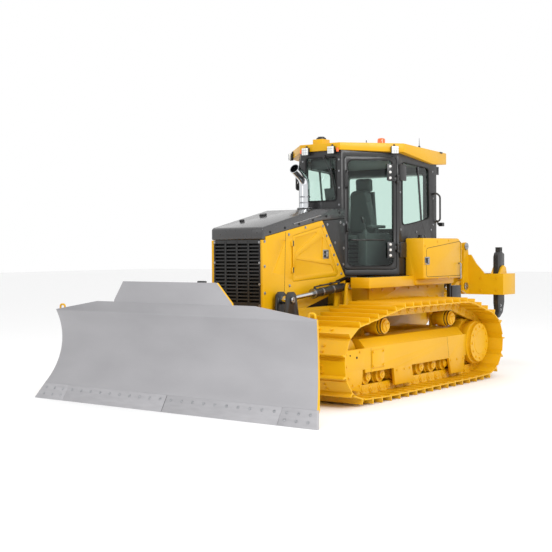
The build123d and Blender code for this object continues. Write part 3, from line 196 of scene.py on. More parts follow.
def moulding(name, colour, roughness, grain_mm=1.2, bump_strength=0.25, coat=0.0, emission=None):
    """Moulded plastic, rubber or vinyl with a pebbled grain of a given width."""
    material, tree, output, place = blank_material(name)
    pebbles = add(tree, "ShaderNodeTexVoronoi", {"Scale": 1000.0 / grain_mm / 2}, {"Vector": place})
    bump = add(tree, "ShaderNodeBump", {"Strength": bump_strength, "Distance": 0.0004},
               {"Height": pebbles.outputs["Distance"]})
    values = {"Base Color": linear(colour), "Roughness": roughness, "IOR": 1.46, "Coat Weight": coat}
    if emission:
        values["Emission Color"] = linear(emission)
        values["Emission Strength"] = 0.12
    shader = add(tree, "ShaderNodeBsdfPrincipled", values, {"Normal": bump.outputs["Normal"]})
    tree.links.new(shader.outputs["BSDF"], output.inputs["Surface"])
    return material


# grain widths are drawn two to four times coarser than real, or they vanish at this size
cab_glass = tinted_glass("green_laminated_glass", "#F1F9F6")
cab_plastic = moulding("grained_abs", "#4C5050", 0.55, 4.0)
seat_vinyl = moulding("seat_vinyl", "#5A605F", 0.5, 3.0, 0.4)
hose_rubber = moulding("hose_rubber", "#1C1C1D", 0.6, 4.0, 0.3)
seal_rubber = moulding("window_seal_rubber", "#151516", 0.7, 4.0, 0.1)
clear_lens = moulding("clear_lens", "#D4D8D8", 0.12, 12.0, 0.3, coat=1.0, emission="#FFFFFF")
white_steel = moulding("white_painted_steel", "#E4E4E2", 0.4, 4.0, 0.05)
amber_lens = moulding("amber_lens", "#FF6A1E", 0.2, 12.0, 0.2, coat=1.0)
screen_glass = moulding("display_glass", "#0B0E12", 0.08, 20.0, 0.0, coat=1.0)
# a flat black for painted shade, put where holes and hollows look dark
painted_shade_black = moulding("shadow_black", "#0A0A0A", 0.9, 4.0, 0.0)
print("mouldings:", cab_plastic.name, seat_vinyl.name, hose_rubber.name, clear_lens.name)

# %% [markdown]
# ## Rounded edges
# Cut and welded plate has edges a few millimetres round, and it is those edges that catch
# the light. The solids are exact and sharp, so each painted piece is copied, its loose
# triangles are merged back into flat faces, and a bevel rounds every corner.

# %% soften the plates' edges
def draft_of(mesh, name):
    """A passing object for a mesh, for modifiers to work on."""
    draft = bpy.data.objects.new(name + "_draft", mesh)
    bpy.context.scene.collection.objects.link(draft)
    return draft


def evaluated(draft):
    """A draft's mesh as its modifiers leave it."""
    return bpy.data.meshes.new_from_object(draft.evaluated_get(bpy.context.evaluated_depsgraph_get()))


def modified(mesh, name, kind, sockets=None, **settings):
    """A mesh after one modifier with its settings and, for a node group, its sockets' values."""
    draft = draft_of(mesh, name)
    modifier = draft.modifiers.new("step", kind)
    for setting, value in settings.items():
        setattr(modifier, setting, value)
    for socket, value in (sockets or {}).items():
        modifier[socket] = value
    made = evaluated(draft)
    bpy.data.objects.remove(draft)
    return made


def mirrored(mesh):
    """A mesh's mirror image, for the machine's other side."""
    other = mesh.copy()
    other.transform(Matrix.Scale(-1, 4, (0, 1, 0)))
    other.flip_normals()
    return other


def finish_mesh(name, mesh, material, body, angle=32.0):
    """Make an object of a mesh, smooth where it turns gently, and let it ride on a body."""
    mesh.materials.clear()
    mesh.materials.append(material)
    mesh.shade_smooth()
    mesh.set_sharp_from_angle(angle=math.radians(angle))
    piece = bpy.data.objects.new(name, mesh)
    bpy.context.scene.collection.objects.link(piece)
    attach(piece, body)
    return piece


def stand_in(node, mesh, material):
    """Let a finished mesh take a solid's place."""
    piece = finish_mesh(node + "_finished", mesh, material, home[node])
    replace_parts(piece, node)
    return piece


def soften(node, material, width):
    """Stand a copy with rounded edges in for a solid."""
    shape = bmesh.new()
    shape.from_mesh(nodes[node].data)
    bmesh.ops.remove_doubles(shape, verts=shape.verts, dist=1e-5)
    bmesh.ops.dissolve_limit(shape, angle_limit=math.radians(0.6), verts=shape.verts, edges=shape.edges)
    mesh = bpy.data.meshes.new(node + "_rounded")
    shape.to_mesh(mesh)
    shape.free()
    return stand_in(node, modified(mesh, node, "BEVEL", width=width, segments=2, limit_method="ANGLE",
                                   angle_limit=math.radians(30), use_clamp_overlap=True,
                                   miter_outer="MITER_ARC"), material)


# each painted solid's finish and the round on its edges
painted = {
    "main_frame": (yellow_enamel, 0.005), "hood_top": (hood_enamel, 0.030),
    "hood_side_panels": (yellow_enamel, 0.004), "cab_skirts": (grey_enamel, 0.004),
    "engine_door_left": (yellow_enamel, 0.004), "engine_door_right": (yellow_enamel, 0.004),
    "radiator_and_fan": (black_enamel, 0.003), "blade": (yellow_enamel, 0.003),
    "engine_block": (cast_enamel, 0.02), "idlers": (yellow_enamel, 0.005),
    "sprockets": (yellow_enamel, 0.004), "track_rollers": (yellow_enamel, 0.004),
    "carrier_rollers": (yellow_enamel, 0.004), "track_frame_left": (yellow_enamel, 0.01),
    "track_frame_right": (yellow_enamel, 0.01), "final_drives": (yellow_enamel, 0.012),
    "cab_frame": (grey_enamel, 0.006), "cab_roof": (yellow_enamel, 0.012),
    "cab_door_left": (grey_enamel, 0.005), "consoles": (cab_plastic, 0.015),
    "seat_base": (cab_plastic, 0.01), "rear_housing": (yellow_enamel, 0.02),
    "fenders": (yellow_enamel, 0.006), "cab_mounts": (black_enamel, 0.006),
    "push_frame": (yellow_enamel, 0.005), "blade_yoke": (yellow_enamel, 0.005),
    "cutting_edges": (edge_steel, 0.002), "lift_barrels": (black_enamel, 0.003),
    "angle_barrel_left": (black_enamel, 0.003), "angle_barrel_right": (black_enamel, 0.003),
    "tilt_barrel": (black_enamel, 0.003), "ripper_barrels": (black_enamel, 0.003),
    "ripper_links": (yellow_enamel, 0.005), "ripper_upper_links": (yellow_enamel, 0.005),
    "ripper_frame": (yellow_enamel, 0.008), "ripper_shanks": (grey_enamel, 0.008),
    "track_left": (yellow_enamel, 0.003), "track_right": (yellow_enamel, 0.003),
}
finished = {node: soften(node, material, width) for node, (material, width) in painted.items()}
# the right door is the left one's mirror image
finished["cab_door_right"] = stand_in("cab_door_right", mirrored(finished["cab_door_left"].data), grey_enamel)
bare = {
    "grille": black_enamel, "cab_glass": cab_glass, "door_glass_left": cab_glass, "door_glass_right": cab_glass,
    "exhaust_stack": chrome, "lift_rods": chrome, "angle_rod_left": chrome, "angle_rod_right": chrome,
    "tilt_rod": chrome, "ripper_rods": chrome, "seat": seat_vinyl,
}
for node, material in bare.items():
    nodes[node].data.materials.clear()
    nodes[node].data.materials.append(material)
print("rounded", len(finished), "pieces; left as they are:", ", ".join(bare))

# %% [markdown]
# ## A small shape kit
# Fittings are closed solids: tubes swept along a bent path, turned parts, flat plates and
# blocks. A solid is written as a run of rings of points and whether the run closes on itself
# round a hole. Solids of one finish are gathered into one object that rides on a body of the
# machine. Many fittings sit on both sides, so a second body gets the mirror image.

# %% solids as rings of points
LEFT, UP = Vector((0, 1, 0)), Vector((0, 0, 1))
MIDDLE, BOTH = ("chassis",), ("chassis", "chassis")


def square_to(direction):
    """Two unit vectors square to a direction."""
    helper = UP if abs(direction.z) < 0.9 else Vector((1, 0, 0))
    across = direction.cross(helper).normalized()
    return across, direction.cross(across).normalized()


def circle(centre, across, up, radius, sides):
    """Points at equal steps round a circle."""
    return [centre + (across * math.cos(a) + up * math.sin(a)) * radius
            for a in (2 * math.pi * k / sides for k in range(sides))]


def rounded_path(points, bend, steps=6):
    """A path of straight runs with its corners turned into arcs."""
    points = [Vector(p) for p in points]
    path = [points[0]]
    for before, corner, after in zip(points, points[1:], points[2:]):
        back, on = (before - corner).normalized(), (after - corner).normalized()
        angle = back.angle(on)
        if angle > math.pi - 0.02:
            path.append(corner)
            continue
        cut = min(bend / math.tan(angle / 2), (before - corner).length * 0.49, (after - corner).length * 0.49)
        start, end = corner + back * cut, corner + on * cut
        for i in range(steps + 1):
            t = i / steps
            path.append(start.lerp(corner, t).lerp(corner.lerp(end, t), t))
    path.append(points[-1])
    return path


def tube(points, radius, bend=0.05, sides=14):
    """A round bar or pipe along a path with rounded corners."""
    path = rounded_path(points, bend)
    across, up = square_to((path[1] - path[0]).normalized())
    rings = []
    for i, place in enumerate(path):
        ahead = (path[min(i + 1, len(path) - 1)] - path[max(i - 1, 0)]).normalized()
        across = (across - ahead * across.dot(ahead)).normalized()
        up = ahead.cross(across)
        rings.append(circle(place, across, up, radius, sides))
    return rings, False


def turned(base, axis, profile, sides=28):
    """A turned part from (height, radius) pairs along an axis from its base."""
    base, axis = Vector(base), Vector(axis).normalized()
    across, up = square_to(axis)
    return [circle(base + axis * height, across, up, radius, sides) for height, radius in profile], False


def ring(base, axis, inner, outer, depth, sides=32):
    """A flat ring with a hole, such as a clamp or a bezel."""
    return turned(base, axis, ((0, inner), (0, outer), (depth, outer), (depth, inner)), sides)[0], True


def plate(corners, depth):
    """A flat plate: its corners in order, made thick along a vector."""
    corners, depth = [Vector(c) for c in corners], Vector(depth)
    return [corners, [c + depth for c in corners]], False


def block(low, high):
    """A box between two corners."""
    (x0, y0, z0), (x1, y1, z1) = low, high
    return plate([(x0, y0, z0), (x1, y0, z0), (x1, y1, z0), (x0, y1, z0)], (0, 0, z1 - z0))


# %% solids into pieces
def place_pieces(name, mesh, material, on, angle):
    """Finish a mesh on the first body or solid, and its mirror image on the second."""
    pieces = []
    for i, rider in enumerate(on):
        mesh = mirrored(mesh) if i else mesh
        pieces.append(finish_mesh(name + "_twin" * i, mesh, material, home.get(rider, rider), angle))
    return pieces


def fit(name, material, solids, on=MIDDLE, bevel=0.0):
    """Gather solids into an object on a body, with its edges rounded by a bevel."""
    shape = bmesh.new()
    for rings, hollow in solids:
        made = [[shape.verts.new(point) for point in points] for points in rings]
        count = len(made[0])
        for low, high in zip(made, made[1:] + made[:1] if hollow else made[1:]):
            for i in range(count):
                shape.faces.new((low[i], low[(i + 1) % count], high[(i + 1) % count], high[i]))
        if not hollow:
            shape.faces.new(list(reversed(made[0])))
            shape.faces.new(made[-1])
    bmesh.ops.recalc_face_normals(shape, faces=shape.faces)
    mesh = bpy.data.meshes.new(name)
    shape.to_mesh(mesh)
    shape.free()
    if bevel:
        mesh = modified(mesh, name, "BEVEL", width=bevel, segments=2, limit_method="ANGLE",
                        angle_limit=math.radians(40))
    return place_pieces(name, mesh, material, on, 32.0)


# %% [markdown]
# ## Bolts
# The machine is held together by hex bolts on washers. Each pattern of bolts is a cloud of
# points that know which way they face, and one Geometry Nodes tree puts a bolt on each.

# %% bolts on points
def bolt_tree():
    """Geometry nodes that stand a hex bolt with its washer on each point, along its normal."""
    tree = bpy.data.node_groups.new("hex_bolts", "GeometryNodeTree")
    sockets = {}
    for name, kind in (("Points", "NodeSocketGeometry"), ("Head radius", "NodeSocketFloat"),
                       ("Head height", "NodeSocketFloat"), ("Washer radius", "NodeSocketFloat"),
                       ("Finish", "NodeSocketMaterial")):
        sockets[name] = tree.interface.new_socket(name, in_out="INPUT", socket_type=kind).identifier
    tree.interface.new_socket("Bolts", in_out="OUTPUT", socket_type="NodeSocketGeometry")
    given = add(tree, "NodeGroupInput").outputs
    output = add(tree, "NodeGroupOutput")
    head = add(tree, "GeometryNodeMeshCylinder", {"Vertices": 6},
               {"Radius": given["Head radius"], "Depth": given["Head height"]})
    half = add(tree, "ShaderNodeMath", {1: 0.5}, {0: given["Head height"]}, operation="MULTIPLY")
    raised = add(tree, "ShaderNodeMath", {1: 0.003}, {0: half.outputs[0]}, operation="ADD")
    lift = add(tree, "ShaderNodeCombineXYZ", links={"Z": raised.outputs[0]})
    head_up = add(tree, "GeometryNodeTransform", links={"Geometry": head.outputs["Mesh"],
                                                        "Translation": lift.outputs["Vector"]})
    washer = add(tree, "GeometryNodeMeshCylinder", {"Vertices": 18, "Depth": 0.006},
                 {"Radius": given["Washer radius"]})
    bolt = add(tree, "GeometryNodeJoinGeometry")
    tree.links.new(head_up.outputs["Geometry"], bolt.inputs[0])
    tree.links.new(washer.outputs["Mesh"], bolt.inputs[0])
    facing = add(tree, "GeometryNodeInputNamedAttribute", {"Name": "facing"}, data_type="FLOAT_VECTOR")
    turn = add(tree, "FunctionNodeAlignRotationToVector", links={"Vector": facing.outputs["Attribute"]}, axis="Z")
    spread = add(tree, "GeometryNodeInstanceOnPoints", links={
        "Points": given["Points"], "Instance": bolt.outputs[0], "Rotation": turn.outputs["Rotation"]})
    real = add(tree, "GeometryNodeRealizeInstances", links={"Geometry": spread.outputs["Instances"]})
    dressed = add(tree, "GeometryNodeSetMaterial", links={"Geometry": real.outputs["Geometry"],
                                                          "Material": given["Finish"]})
    tree.links.new(dressed.outputs["Geometry"], output.inputs["Bolts"])
    return tree, sockets


hex_bolts, bolt_sockets = bolt_tree()


def bolts(name, material, size, places, on=MIDDLE):
    """Hex bolts of (head radius, head height, washer radius) at (point, direction) places."""
    cloud = bpy.data.meshes.new(name + "_points")
    cloud.from_pydata([place for place, facing in places], [], [])
    facings = cloud.attributes.new("facing", "FLOAT_VECTOR", "POINT")
    for i, (place, facing) in enumerate(places):
        facings.data[i].vector = facing
    values = dict(zip(("Head radius", "Head height", "Washer radius"), size), Finish=material)
    mesh = modified(cloud, name, "NODES", {bolt_sockets[label]: value for label, value in values.items()},
                    node_group=hex_bolts)
    place_pieces(name, mesh, material, on, 30.0)


def on_left(y, spots):
    """Places for bolts on a wall that faces left, from (x, z) spots."""
    return [((x, y, z), LEFT) for x, z in spots]


def round_spots(x, z, radius, count, start=0.0):
    """Spots at equal steps round a middle."""
    return [(x + radius * math.cos(a), z + radius * math.sin(a))
            for a in (2 * math.pi * k / count + start for k in range(count))]


print("shape kit ready")

# %% [markdown]
# ## The chain
# A track is a chain of 43 links. Its pin line is a belt round the idler, two carrier
# rollers, the sprocket and the first and last bottom roller. The solids hold the shoes and
# the rails; here each link gets its pin, bosses and bolts at its own place on that belt.

# %% places along the chain
CHAIN_MIDDLE = 1.169    # y of the left chain
RAIL_OFFSET = 0.080     # rail's middle from the chain's middle
RAIL_HALF = 0.021
LINK_RISE = 0.055       # from the pins out to the shoes
SHOE_PLATE = 0.014
SHOE_HALF_WIDTH = 0.375
SHOES = 43
ROLLERS, ROLLER_STEP, ROLLER_Z = 8, 0.3, 0.259
REAR_ROLLER, FRONT_ROLLER = -0.885, 1.215
CARRIERS, CARRIER_Z = (0.820, -0.780), 0.806
SPROCKET = (-1.330, 0.466)
# wheels the pin line wraps, from the idler anticlockwise: x, z, radius of the pin line
BELT_WHEELS = [(1.670, 0.474, 0.336), (CARRIERS[0], CARRIER_Z, 0.153), (CARRIERS[1], CARRIER_Z, 0.153),
               (*SPROCKET, 0.336), (REAR_ROLLER, ROLLER_Z, 0.140), (FRONT_ROLLER, ROLLER_Z, 0.140)]
KNOWN_PIN = (-0.021084, 0.119)
TRACKS = ("track_left", "track_right")


def belt_points(step=0.002):
    """Points along a tight belt round the wheels, as (x, z)."""
    normals = []
    for (x0, z0, r0), (x1, z1, r1) in zip(BELT_WHEELS, BELT_WHEELS[1:] + BELT_WHEELS[:1]):
        run = math.atan2(z1 - z0, x1 - x0)
        normals.append(run - math.acos((r0 - r1) / math.hypot(x1 - x0, z1 - z0)))
    points = []
    for i, (x, z, radius) in enumerate(BELT_WHEELS):
        arrive, leave = normals[i - 1], normals[i]
        turn = (leave - arrive) % (2 * math.pi)
        pieces = max(2, int(turn * radius / step))
        points += [(x + radius * math.cos(arrive + turn * k / pieces),
                    z + radius * math.sin(arrive + turn * k / pieces)) for k in range(pieces + 1)]
    return points


def chain_pins():
    """The pins' places at equal steps along the belt, one of them at the known pin."""
    points = belt_points()
    loop = points + points[:1]
    lengths = [0.0]
    for start, end in zip(loop, loop[1:]):
        lengths.append(lengths[-1] + math.hypot(end[0] - start[0], end[1] - start[1]))

    def at(distance):
        distance %= lengths[-1]
        for i in range(len(points)):
            if lengths[i + 1] >= distance:
                share = (distance - lengths[i]) / max(lengths[i + 1] - lengths[i], 1e-9)
                return tuple(a + (b - a) * share for a, b in zip(loop[i], loop[i + 1]))

    def closest(distances):
        return min(distances, key=lambda distance: math.dist(at(distance), KNOWN_PIN))

    # first in 4000 steps round the belt, then in steps of a hundredth of a millimetre
    start = closest([lengths[-1] * k / 4000 for k in range(4000)])
    start = closest([start + d * 1e-5 for d in range(-250, 250)])
    return [at(start + lengths[-1] * i / SHOES) for i in range(SHOES)]


pins = chain_pins()
links = []
for (x0, z0), (x1, z1) in zip(pins, pins[1:] + pins[:1]):
    length = math.hypot(x1 - x0, z1 - z0)
    along = Vector(((x1 - x0) / length, 0, (z1 - z0) / length))
    links.append((Vector(((x0 + x1) / 2, 0, (z0 + z1) / 2)), length, along, Vector((along.z, 0, -along.x))))
print(len(links), "links of", round(links[0][1] * 1000, 1), "mm")

# %% pins, bosses and shoe bolts
chain, shoe_bolts = [], []
for (x, z), (middle, length, along, outward) in zip(pins, links):
    for side in (1, -1):
        face_y = CHAIN_MIDDLE + side * RAIL_OFFSET + side * RAIL_HALF
        out = (0, side, 0)
        # the pin's boss on the rail's outer face, and the pin's ground end in it
        chain.append(turned((x, face_y - side * 0.001, z), out, [(0, 0.043), (0.007, 0.043), (0.010, 0.039)], 20))
        chain.append(turned((x, face_y, z), out, [(0.005, 0.021), (0.015, 0.021), (0.018, 0.017)], 14))
        # two of the shoe's four bolts, and the boss in the link's waist
        for share in (-0.17, 0.17):
            place = middle + along * (share * length)
            place.y = CHAIN_MIDDLE + side * (RAIL_OFFSET + 0.002)
            shoe_bolts.append((place + outward * (LINK_RISE + SHOE_PLATE), outward))
        place = middle + outward * 0.012
        chain.append(turned((place.x, face_y, place.z), out, [(-0.001, 0.026), (0.003, 0.024)], 12))
    # bushing between the rails
    chain.append(turned((x, CHAIN_MIDDLE - RAIL_OFFSET + RAIL_HALF, z), LEFT,
                        [(0, 0.031), (2 * (RAIL_OFFSET - RAIL_HALF), 0.031)], 16))
# each shoe's lip reaches under the next shoe, so that no dirt falls through where the chain bends
for i, (x, z) in enumerate(pins):
    along = (links[i][2] + links[i - 1][2]).normalized()
    outward = Vector((along.z, 0, -along.x))
    root = Vector((x, CHAIN_MIDDLE - SHOE_HALF_WIDTH, z)) + outward * (LINK_RISE - 0.008) - along * 0.034
    chain.append(plate([root, root + along * 0.068, root + along * 0.068 + outward * 0.007,
                        root + outward * 0.007], (0, 2 * SHOE_HALF_WIDTH, 0)))
fit("track_links", yellow_enamel, chain, TRACKS)
bolts("shoe_bolts", yellow_enamel, (0.016, 0.012, 0.020), shoe_bolts, TRACKS)

# %% [markdown]
# ## Undercarriage
# Eight bottom rollers turn under the frame's skirt, each with a bolted collar and cap. Two
# carrier rollers hold up the chain's return run. The frame has a front end plate with the
# track adjuster's cover, the recoil spring's folded cover, and bolts along its edges.

# %% rollers, covers and guards
gear, gear_bolts = [], []
for x in [REAR_ROLLER + ROLLER_STEP * i for i in range(ROLLERS)]:
    gear.append(turned((x, CHAIN_MIDDLE + 0.124, ROLLER_Z), LEFT,
                       [(0, 0.052), (0.008, 0.052), (0.014, 0.046), (0.014, 0.026), (0.022, 0.022)], 24))
    gear_bolts += on_left(CHAIN_MIDDLE + 0.1255, [(x + dx, ROLLER_Z + 0.045) for dx in (-0.034, 0.034)])
for x in CARRIERS:
    gear.append(turned((x, CHAIN_MIDDLE + 0.111, CARRIER_Z), LEFT,
                       [(0, 0.072), (0.020, 0.072), (0.026, 0.066), (0.026, 0.030), (0.034, 0.026)], 32))
    gear_bolts += on_left(CHAIN_MIDDLE + 0.137, round_spots(x, CARRIER_Z, 0.047, 3, 0.5))
fit("roller_caps", yellow_enamel, gear, BOTH)
bolts("roller_bolts", yellow_enamel, (0.009, 0.007, 0.013), gear_bolts, BOTH)
fit("carrier_seals", dark_steel, [ring((x, CHAIN_MIDDLE + y, CARRIER_Z), LEFT, 0.088, 0.096, 0.010)
                                  for x in CARRIERS for y in (0.058, 0.1)], BOTH)
fit("final_drive_caps", yellow_enamel,
    [turned((SPROCKET[0], 1.395, SPROCKET[1]), LEFT,
            [(0, 0.250), (0.008, 0.250), (0.012, 0.244), (0.012, 0.150), (0.017, 0.146)], 56)], BOTH)
bolts("final_drive_bolts", yellow_enamel, (0.013, 0.009, 0.018), on_left(1.407, round_spots(*SPROCKET, 0.205, 12)),
      BOTH)

# the cover's outer skirt: the adjuster's cover, the guards' bolts, sight holes and fold lines
SKIRT_Y = 1.360
fit("adjuster_covers", yellow_enamel, [block((0.980, SKIRT_Y - 0.001, 0.360), (1.235, SKIRT_Y + 0.010, 0.560))],
    BOTH, 0.006)
bolts("skirt_bolts", yellow_enamel, (0.011, 0.008, 0.017),
      on_left(SKIRT_Y + 0.010, [(x, z) for x in (1.000, 1.215) for z in (0.380, 0.540)])
      + on_left(SKIRT_Y, ((1.745, 0.560), (1.745, 0.420), (1.700, 0.290), (1.620, 0.205), (1.490, 0.190),
                          (1.480, 0.560), (0.690, 0.290), (0.520, 0.290), (0.390, 0.290), (-0.620, 0.290),
                          (-0.790, 0.290), (-0.960, 0.290))), BOTH)
# sight holes drawn as black disks of painted shade, not cut holes
fit("adjuster_hole_shades", painted_shade_black, [turned((x, SKIRT_Y - 0.001, z), LEFT, [(0, radius), (0.003, radius)], 20)
                                   for x, z, radius in ((1.540, 0.503, 0.014), (1.672, 0.535, 0.010))], BOTH)
fit("skirt_seams", seal_rubber,
    [plate([(x0 - 0.002, SKIRT_Y - 0.002, z0), (x0 + 0.002, SKIRT_Y - 0.002, z0),
            (x1 + 0.002, SKIRT_Y - 0.002, z1), (x1 - 0.002, SKIRT_Y - 0.002, z1)], (0, 0.0026, 0))
     for x0, z0, x1, z1 in ((1.2480, 0.330, 1.2480, 0.590), (-0.5290, 0.590, -0.5790, 0.330))], BOTH)
print("undercarriage dressed")

# %% [markdown]
# ## Blade
# The plate is yellow on its back and edges, and its front is bare primer, so the front faces
# get their own finish. Plow bolts hold the cutting edges and the end bits. Lifting eyes
# stand behind the upper corners.

# %% blade face, edge bolts and lifting eyes
def repaint(piece, material, test):
    """Give the faces whose centre and normal pass a test another finish."""
    piece.data.materials.append(material)
    index = len(piece.data.materials) - 1
    for face in piece.data.polygons:
        if test(face.center, face.normal):
            face.material_index = index


BLADE_TIP = 3.2
EDGE_RUN, EDGE_TOP = 0.098, 0.166
EDGE_NORMAL = Vector((EDGE_TOP, 0, EDGE_RUN)).normalized()
END_BIT_Y = 1.509
UPPER_ROW, LOWER_ROW = 0.122, 0.055     # heights of the plow bolts
repaint(finished["blade"], blade_steel,
        lambda place, normal: normal.x > -0.3 and abs(normal.y) < 0.75 and place.x > 2.9)


def on_edge(y, height):
    """A point on the cutting edge's front face."""
    return Vector((BLADE_TIP - EDGE_RUN * height / EDGE_TOP, y, height))


heads = [(0.075 + 0.1506 * i, UPPER_ROW) for i in range(10)]
heads += [(y, height) for y in (END_BIT_Y + 0.07, END_BIT_Y + 0.21, END_BIT_Y + 0.35)
          for height in (LOWER_ROW, UPPER_ROW)]
fit("plow_bolts", bolt_steel, [turned(on_edge(side * y, height) - EDGE_NORMAL * 0.002, EDGE_NORMAL,
                                      [(0, 0.017), (0.004, 0.017), (0.006, 0.013)], 20)
                               for y, height in heads for side in (1, -1)], ("cutting_edges",))
# the two halves of the edge meet in the middle
fit("edge_joint", dark_steel, [plate([on_edge(-0.0018, 0.004), on_edge(0.0018, 0.004), on_edge(0.0018, 0.164),
                                      on_edge(-0.0018, 0.164)], EDGE_NORMAL * 0.0008)], ("cutting_edges",))
fit("blade_lifting_eyes", yellow_enamel,
    [tube([(2.955, side * 1.800, 0.985), (2.955, side * 1.800, 1.070), (2.955, side * 1.725, 1.070),
           (2.955, side * 1.725, 0.985)], 0.011, 0.03) for side in (1, -1)], ("blade",), 0.002)
fit("blade_guard_cap", black_enamel, [block((3.000, 0.381, 1.338), (3.050, 0.476, 1.370))], ("blade",), 0.008)

# %% [markdown]
# ## Lift towers and cylinders
# The two towers that push the blade up are dark grey castings on yellow arms. Each lift
# cylinder has a black barrel with two clamps that hold its oil pipe, a bright gland and
# a chrome rod.

# %% towers, pins and cylinder fittings
TOWER_PIN, LIFT_PIN = (1.690, 1.122), (0.524, 1.230)    # x, z
LIFT_Y = 0.515
repaint(finished["push_frame"], grey_enamel,
        lambda place, normal: 1.49 < place.x < 1.97 and place.z > 0.5 and abs(place.y) > 0.42)
fit("tower_pin_caps", bolt_steel,
    [turned((TOWER_PIN[0], 0.6135, TOWER_PIN[1]), LEFT, [(0, 0.034), (0.006, 0.034), (0.010, 0.028)], 28),
     turned((TOWER_PIN[0], 0.6135, TOWER_PIN[1]), LEFT, [(0.009, 0.012), (0.018, 0.012)], 6)],
    ("push_frame", "push_frame"))
fit("lift_base_pin_caps", bolt_steel,
    [turned((LIFT_PIN[0], 0.6115, LIFT_PIN[1]), LEFT, [(0, 0.032), (0.008, 0.032), (0.012, 0.026)], 28)], BOTH)


def cylinder_dress(name, base, tip, on, length, radius, up, clamps):
    """Clamps, ports, an oil pipe and a gland ring along a cylinder's barrel."""
    base, up = Vector(base), Vector(up).normalized()
    along = (Vector(tip) - base).normalized()
    across = along.cross(up)
    lane = up * (radius + 0.024)
    start, end = base + along * 0.09, base + along * (length - 0.045)
    pipes = [turned(port + up * (radius - 0.01), up,
                    [(0, 0.019), (0.024, 0.019), (0.024, 0.015), (0.040, 0.015)], 6) for port in (start, end)]
    pipes.append(tube([end + lane, start + lane + along * 0.05, start + lane - along * 0.02], 0.0095, 0.03, 10))
    straps = []
    for share in clamps:
        place = base + along * (length * share)
        straps.append(ring(place, along, radius, radius + 0.004, 0.022))
        pipes.append(plate([place + lane * 0.93 - across * 0.013, place + lane * 0.93 + across * 0.013,
                            place + lane * 1.18 + across * 0.013, place + lane * 1.18 - across * 0.013],
                           along * 0.022))
    gland = ring(base + along * (length - 0.004), along, radius * 0.66, radius + 0.009, 0.010)
    fit(name + "_straps", bolt_steel, straps, on)
    fit(name + "_pipes", black_enamel, pipes, on)
    fit(name + "_gland", bolt_steel, [gland], on)


cylinder_dress("lift", (LIFT_PIN[0], LIFT_Y, LIFT_PIN[1]), (TOWER_PIN[0], LIFT_Y, TOWER_PIN[1]),
               ("lift_barrels", "lift_barrels"), 0.640, 0.050, (0.09, 0, 1), (0.38, 0.72))
for name, side in (("left", 1), ("right", -1)):
    cylinder_dress("angle_" + name, (1.300, side * 0.700, 0.560), (2.790, side * 0.740, 0.560),
                   ("angle_barrel_" + name,), 1.080, 0.040, UP, (0.3, 0.7))
cylinder_dress("tilt", (2.791, 0.0, 0.930), (2.791, 0.700, 0.850), ("tilt_barrel",), 0.520, 0.040, UP, (0.4, 0.75))
cylinder_dress("ripper", (-1.894, 0.240, 1.335), (-2.670, 0.240, 1.122), ("ripper_barrels", "ripper_barrels"),
               0.650, 0.048, (-0.26, 0, 0.96), (0.4, 0.75))
print("blade group dressed")

# %% [markdown]
# ## Hood
# The engine doors hang at their front edges and close with a paddle latch. Bolts run along
# the slanted rear panels. The exhaust stack leaves the hood through a bolted flange, is held
# by two clamps, and its inside is dark: soot, and painted shade from a black disk down the stack.

# %% hood fittings
HOOD_Y = 0.370
HOOD_FRONT, HOOD_FRONT_Z = 1.93, 1.94       # where the hood's top starts to rise
HOOD_SLOPE = 0.2152
ENGINE_DOORS = ("engine_door_left", "engine_door_right")
slant = [(0.737 + (0.345 - 0.737) * t, 1.966 + (1.385 - 1.966) * t) for t in (i / 5 for i in range(6))]
bolts("hood_side_bolts", bolt_steel, (0.011, 0.007, 0.018),
      on_left(HOOD_Y, slant + [(0.645, 1.985), (0.480, 1.765), (0.300, 1.500), (0.290, 1.990), (0.290, 1.700),
                               (0.360, 2.015), (1.890, 1.780), (1.890, 1.500), (1.890, 1.200), (1.430, 1.860),
                               (1.100, 1.945), (1.420, 1.270)]), BOTH)
bolts("hood_top_bolts", black_enamel, (0.010, 0.006, 0.016),
      on_left(HOOD_Y, [(x, 1.822 + (HOOD_FRONT - x) * 0.178 + 0.035)
                       for x in (1.780, 1.500, 1.220, 0.940, 0.660, 0.380)]), BOTH)
# the joint behind the front side panel, filled with a rubber strip
fit("hood_seams", seal_rubber, [plate([(1.489, HOOD_Y - 0.002, 1.884), (1.494, HOOD_Y - 0.002, 1.884),
                                       (1.524, HOOD_Y - 0.002, 1.203), (1.519, HOOD_Y - 0.002, 1.203)],
                                      (0, 0.0028, 0))], BOTH)
fit("engine_door_latch", bolt_steel,
    [block((0.622, HOOD_Y - 0.001, 1.574), (0.742, HOOD_Y + 0.006, 1.682)),
     block((0.642, HOOD_Y + 0.006, 1.596), (0.690, HOOD_Y + 0.016, 1.660)),
     turned((0.712, HOOD_Y + 0.006, 1.628), LEFT, [(0, 0.010), (0.006, 0.010)], 16)], ENGINE_DOORS, 0.0015)
# a black patch round the paddle: painted shade for the latch's hollow
fit("engine_door_recess_shade", black_enamel, [block((0.634, HOOD_Y + 0.004, 1.586), (0.730, HOOD_Y + 0.0075, 1.670))],
    ENGINE_DOORS)
fit("engine_door_hinges", black_enamel,
    [turned((1.361, 0.380, 1.418), UP, [(0, 0.0095), (0.003, 0.0105), (0.062, 0.0105)], 16),
     turned((1.361, 0.380, 1.7245), UP, [(0, 0.0105), (0.060, 0.0105), (0.063, 0.0095)], 16)], BOTH)
fit("hood_lids", black_enamel,
    [turned((x, y, HOOD_FRONT_Z + (HOOD_FRONT - x) * HOOD_SLOPE - 0.004), (0.21, 0, 1),
            [(0, radius), (0.018, radius), (0.024, radius - 0.008)], 32)
     for x, y, radius in ((1.540, -0.230, 0.030), (1.20, -0.18, 0.045))])
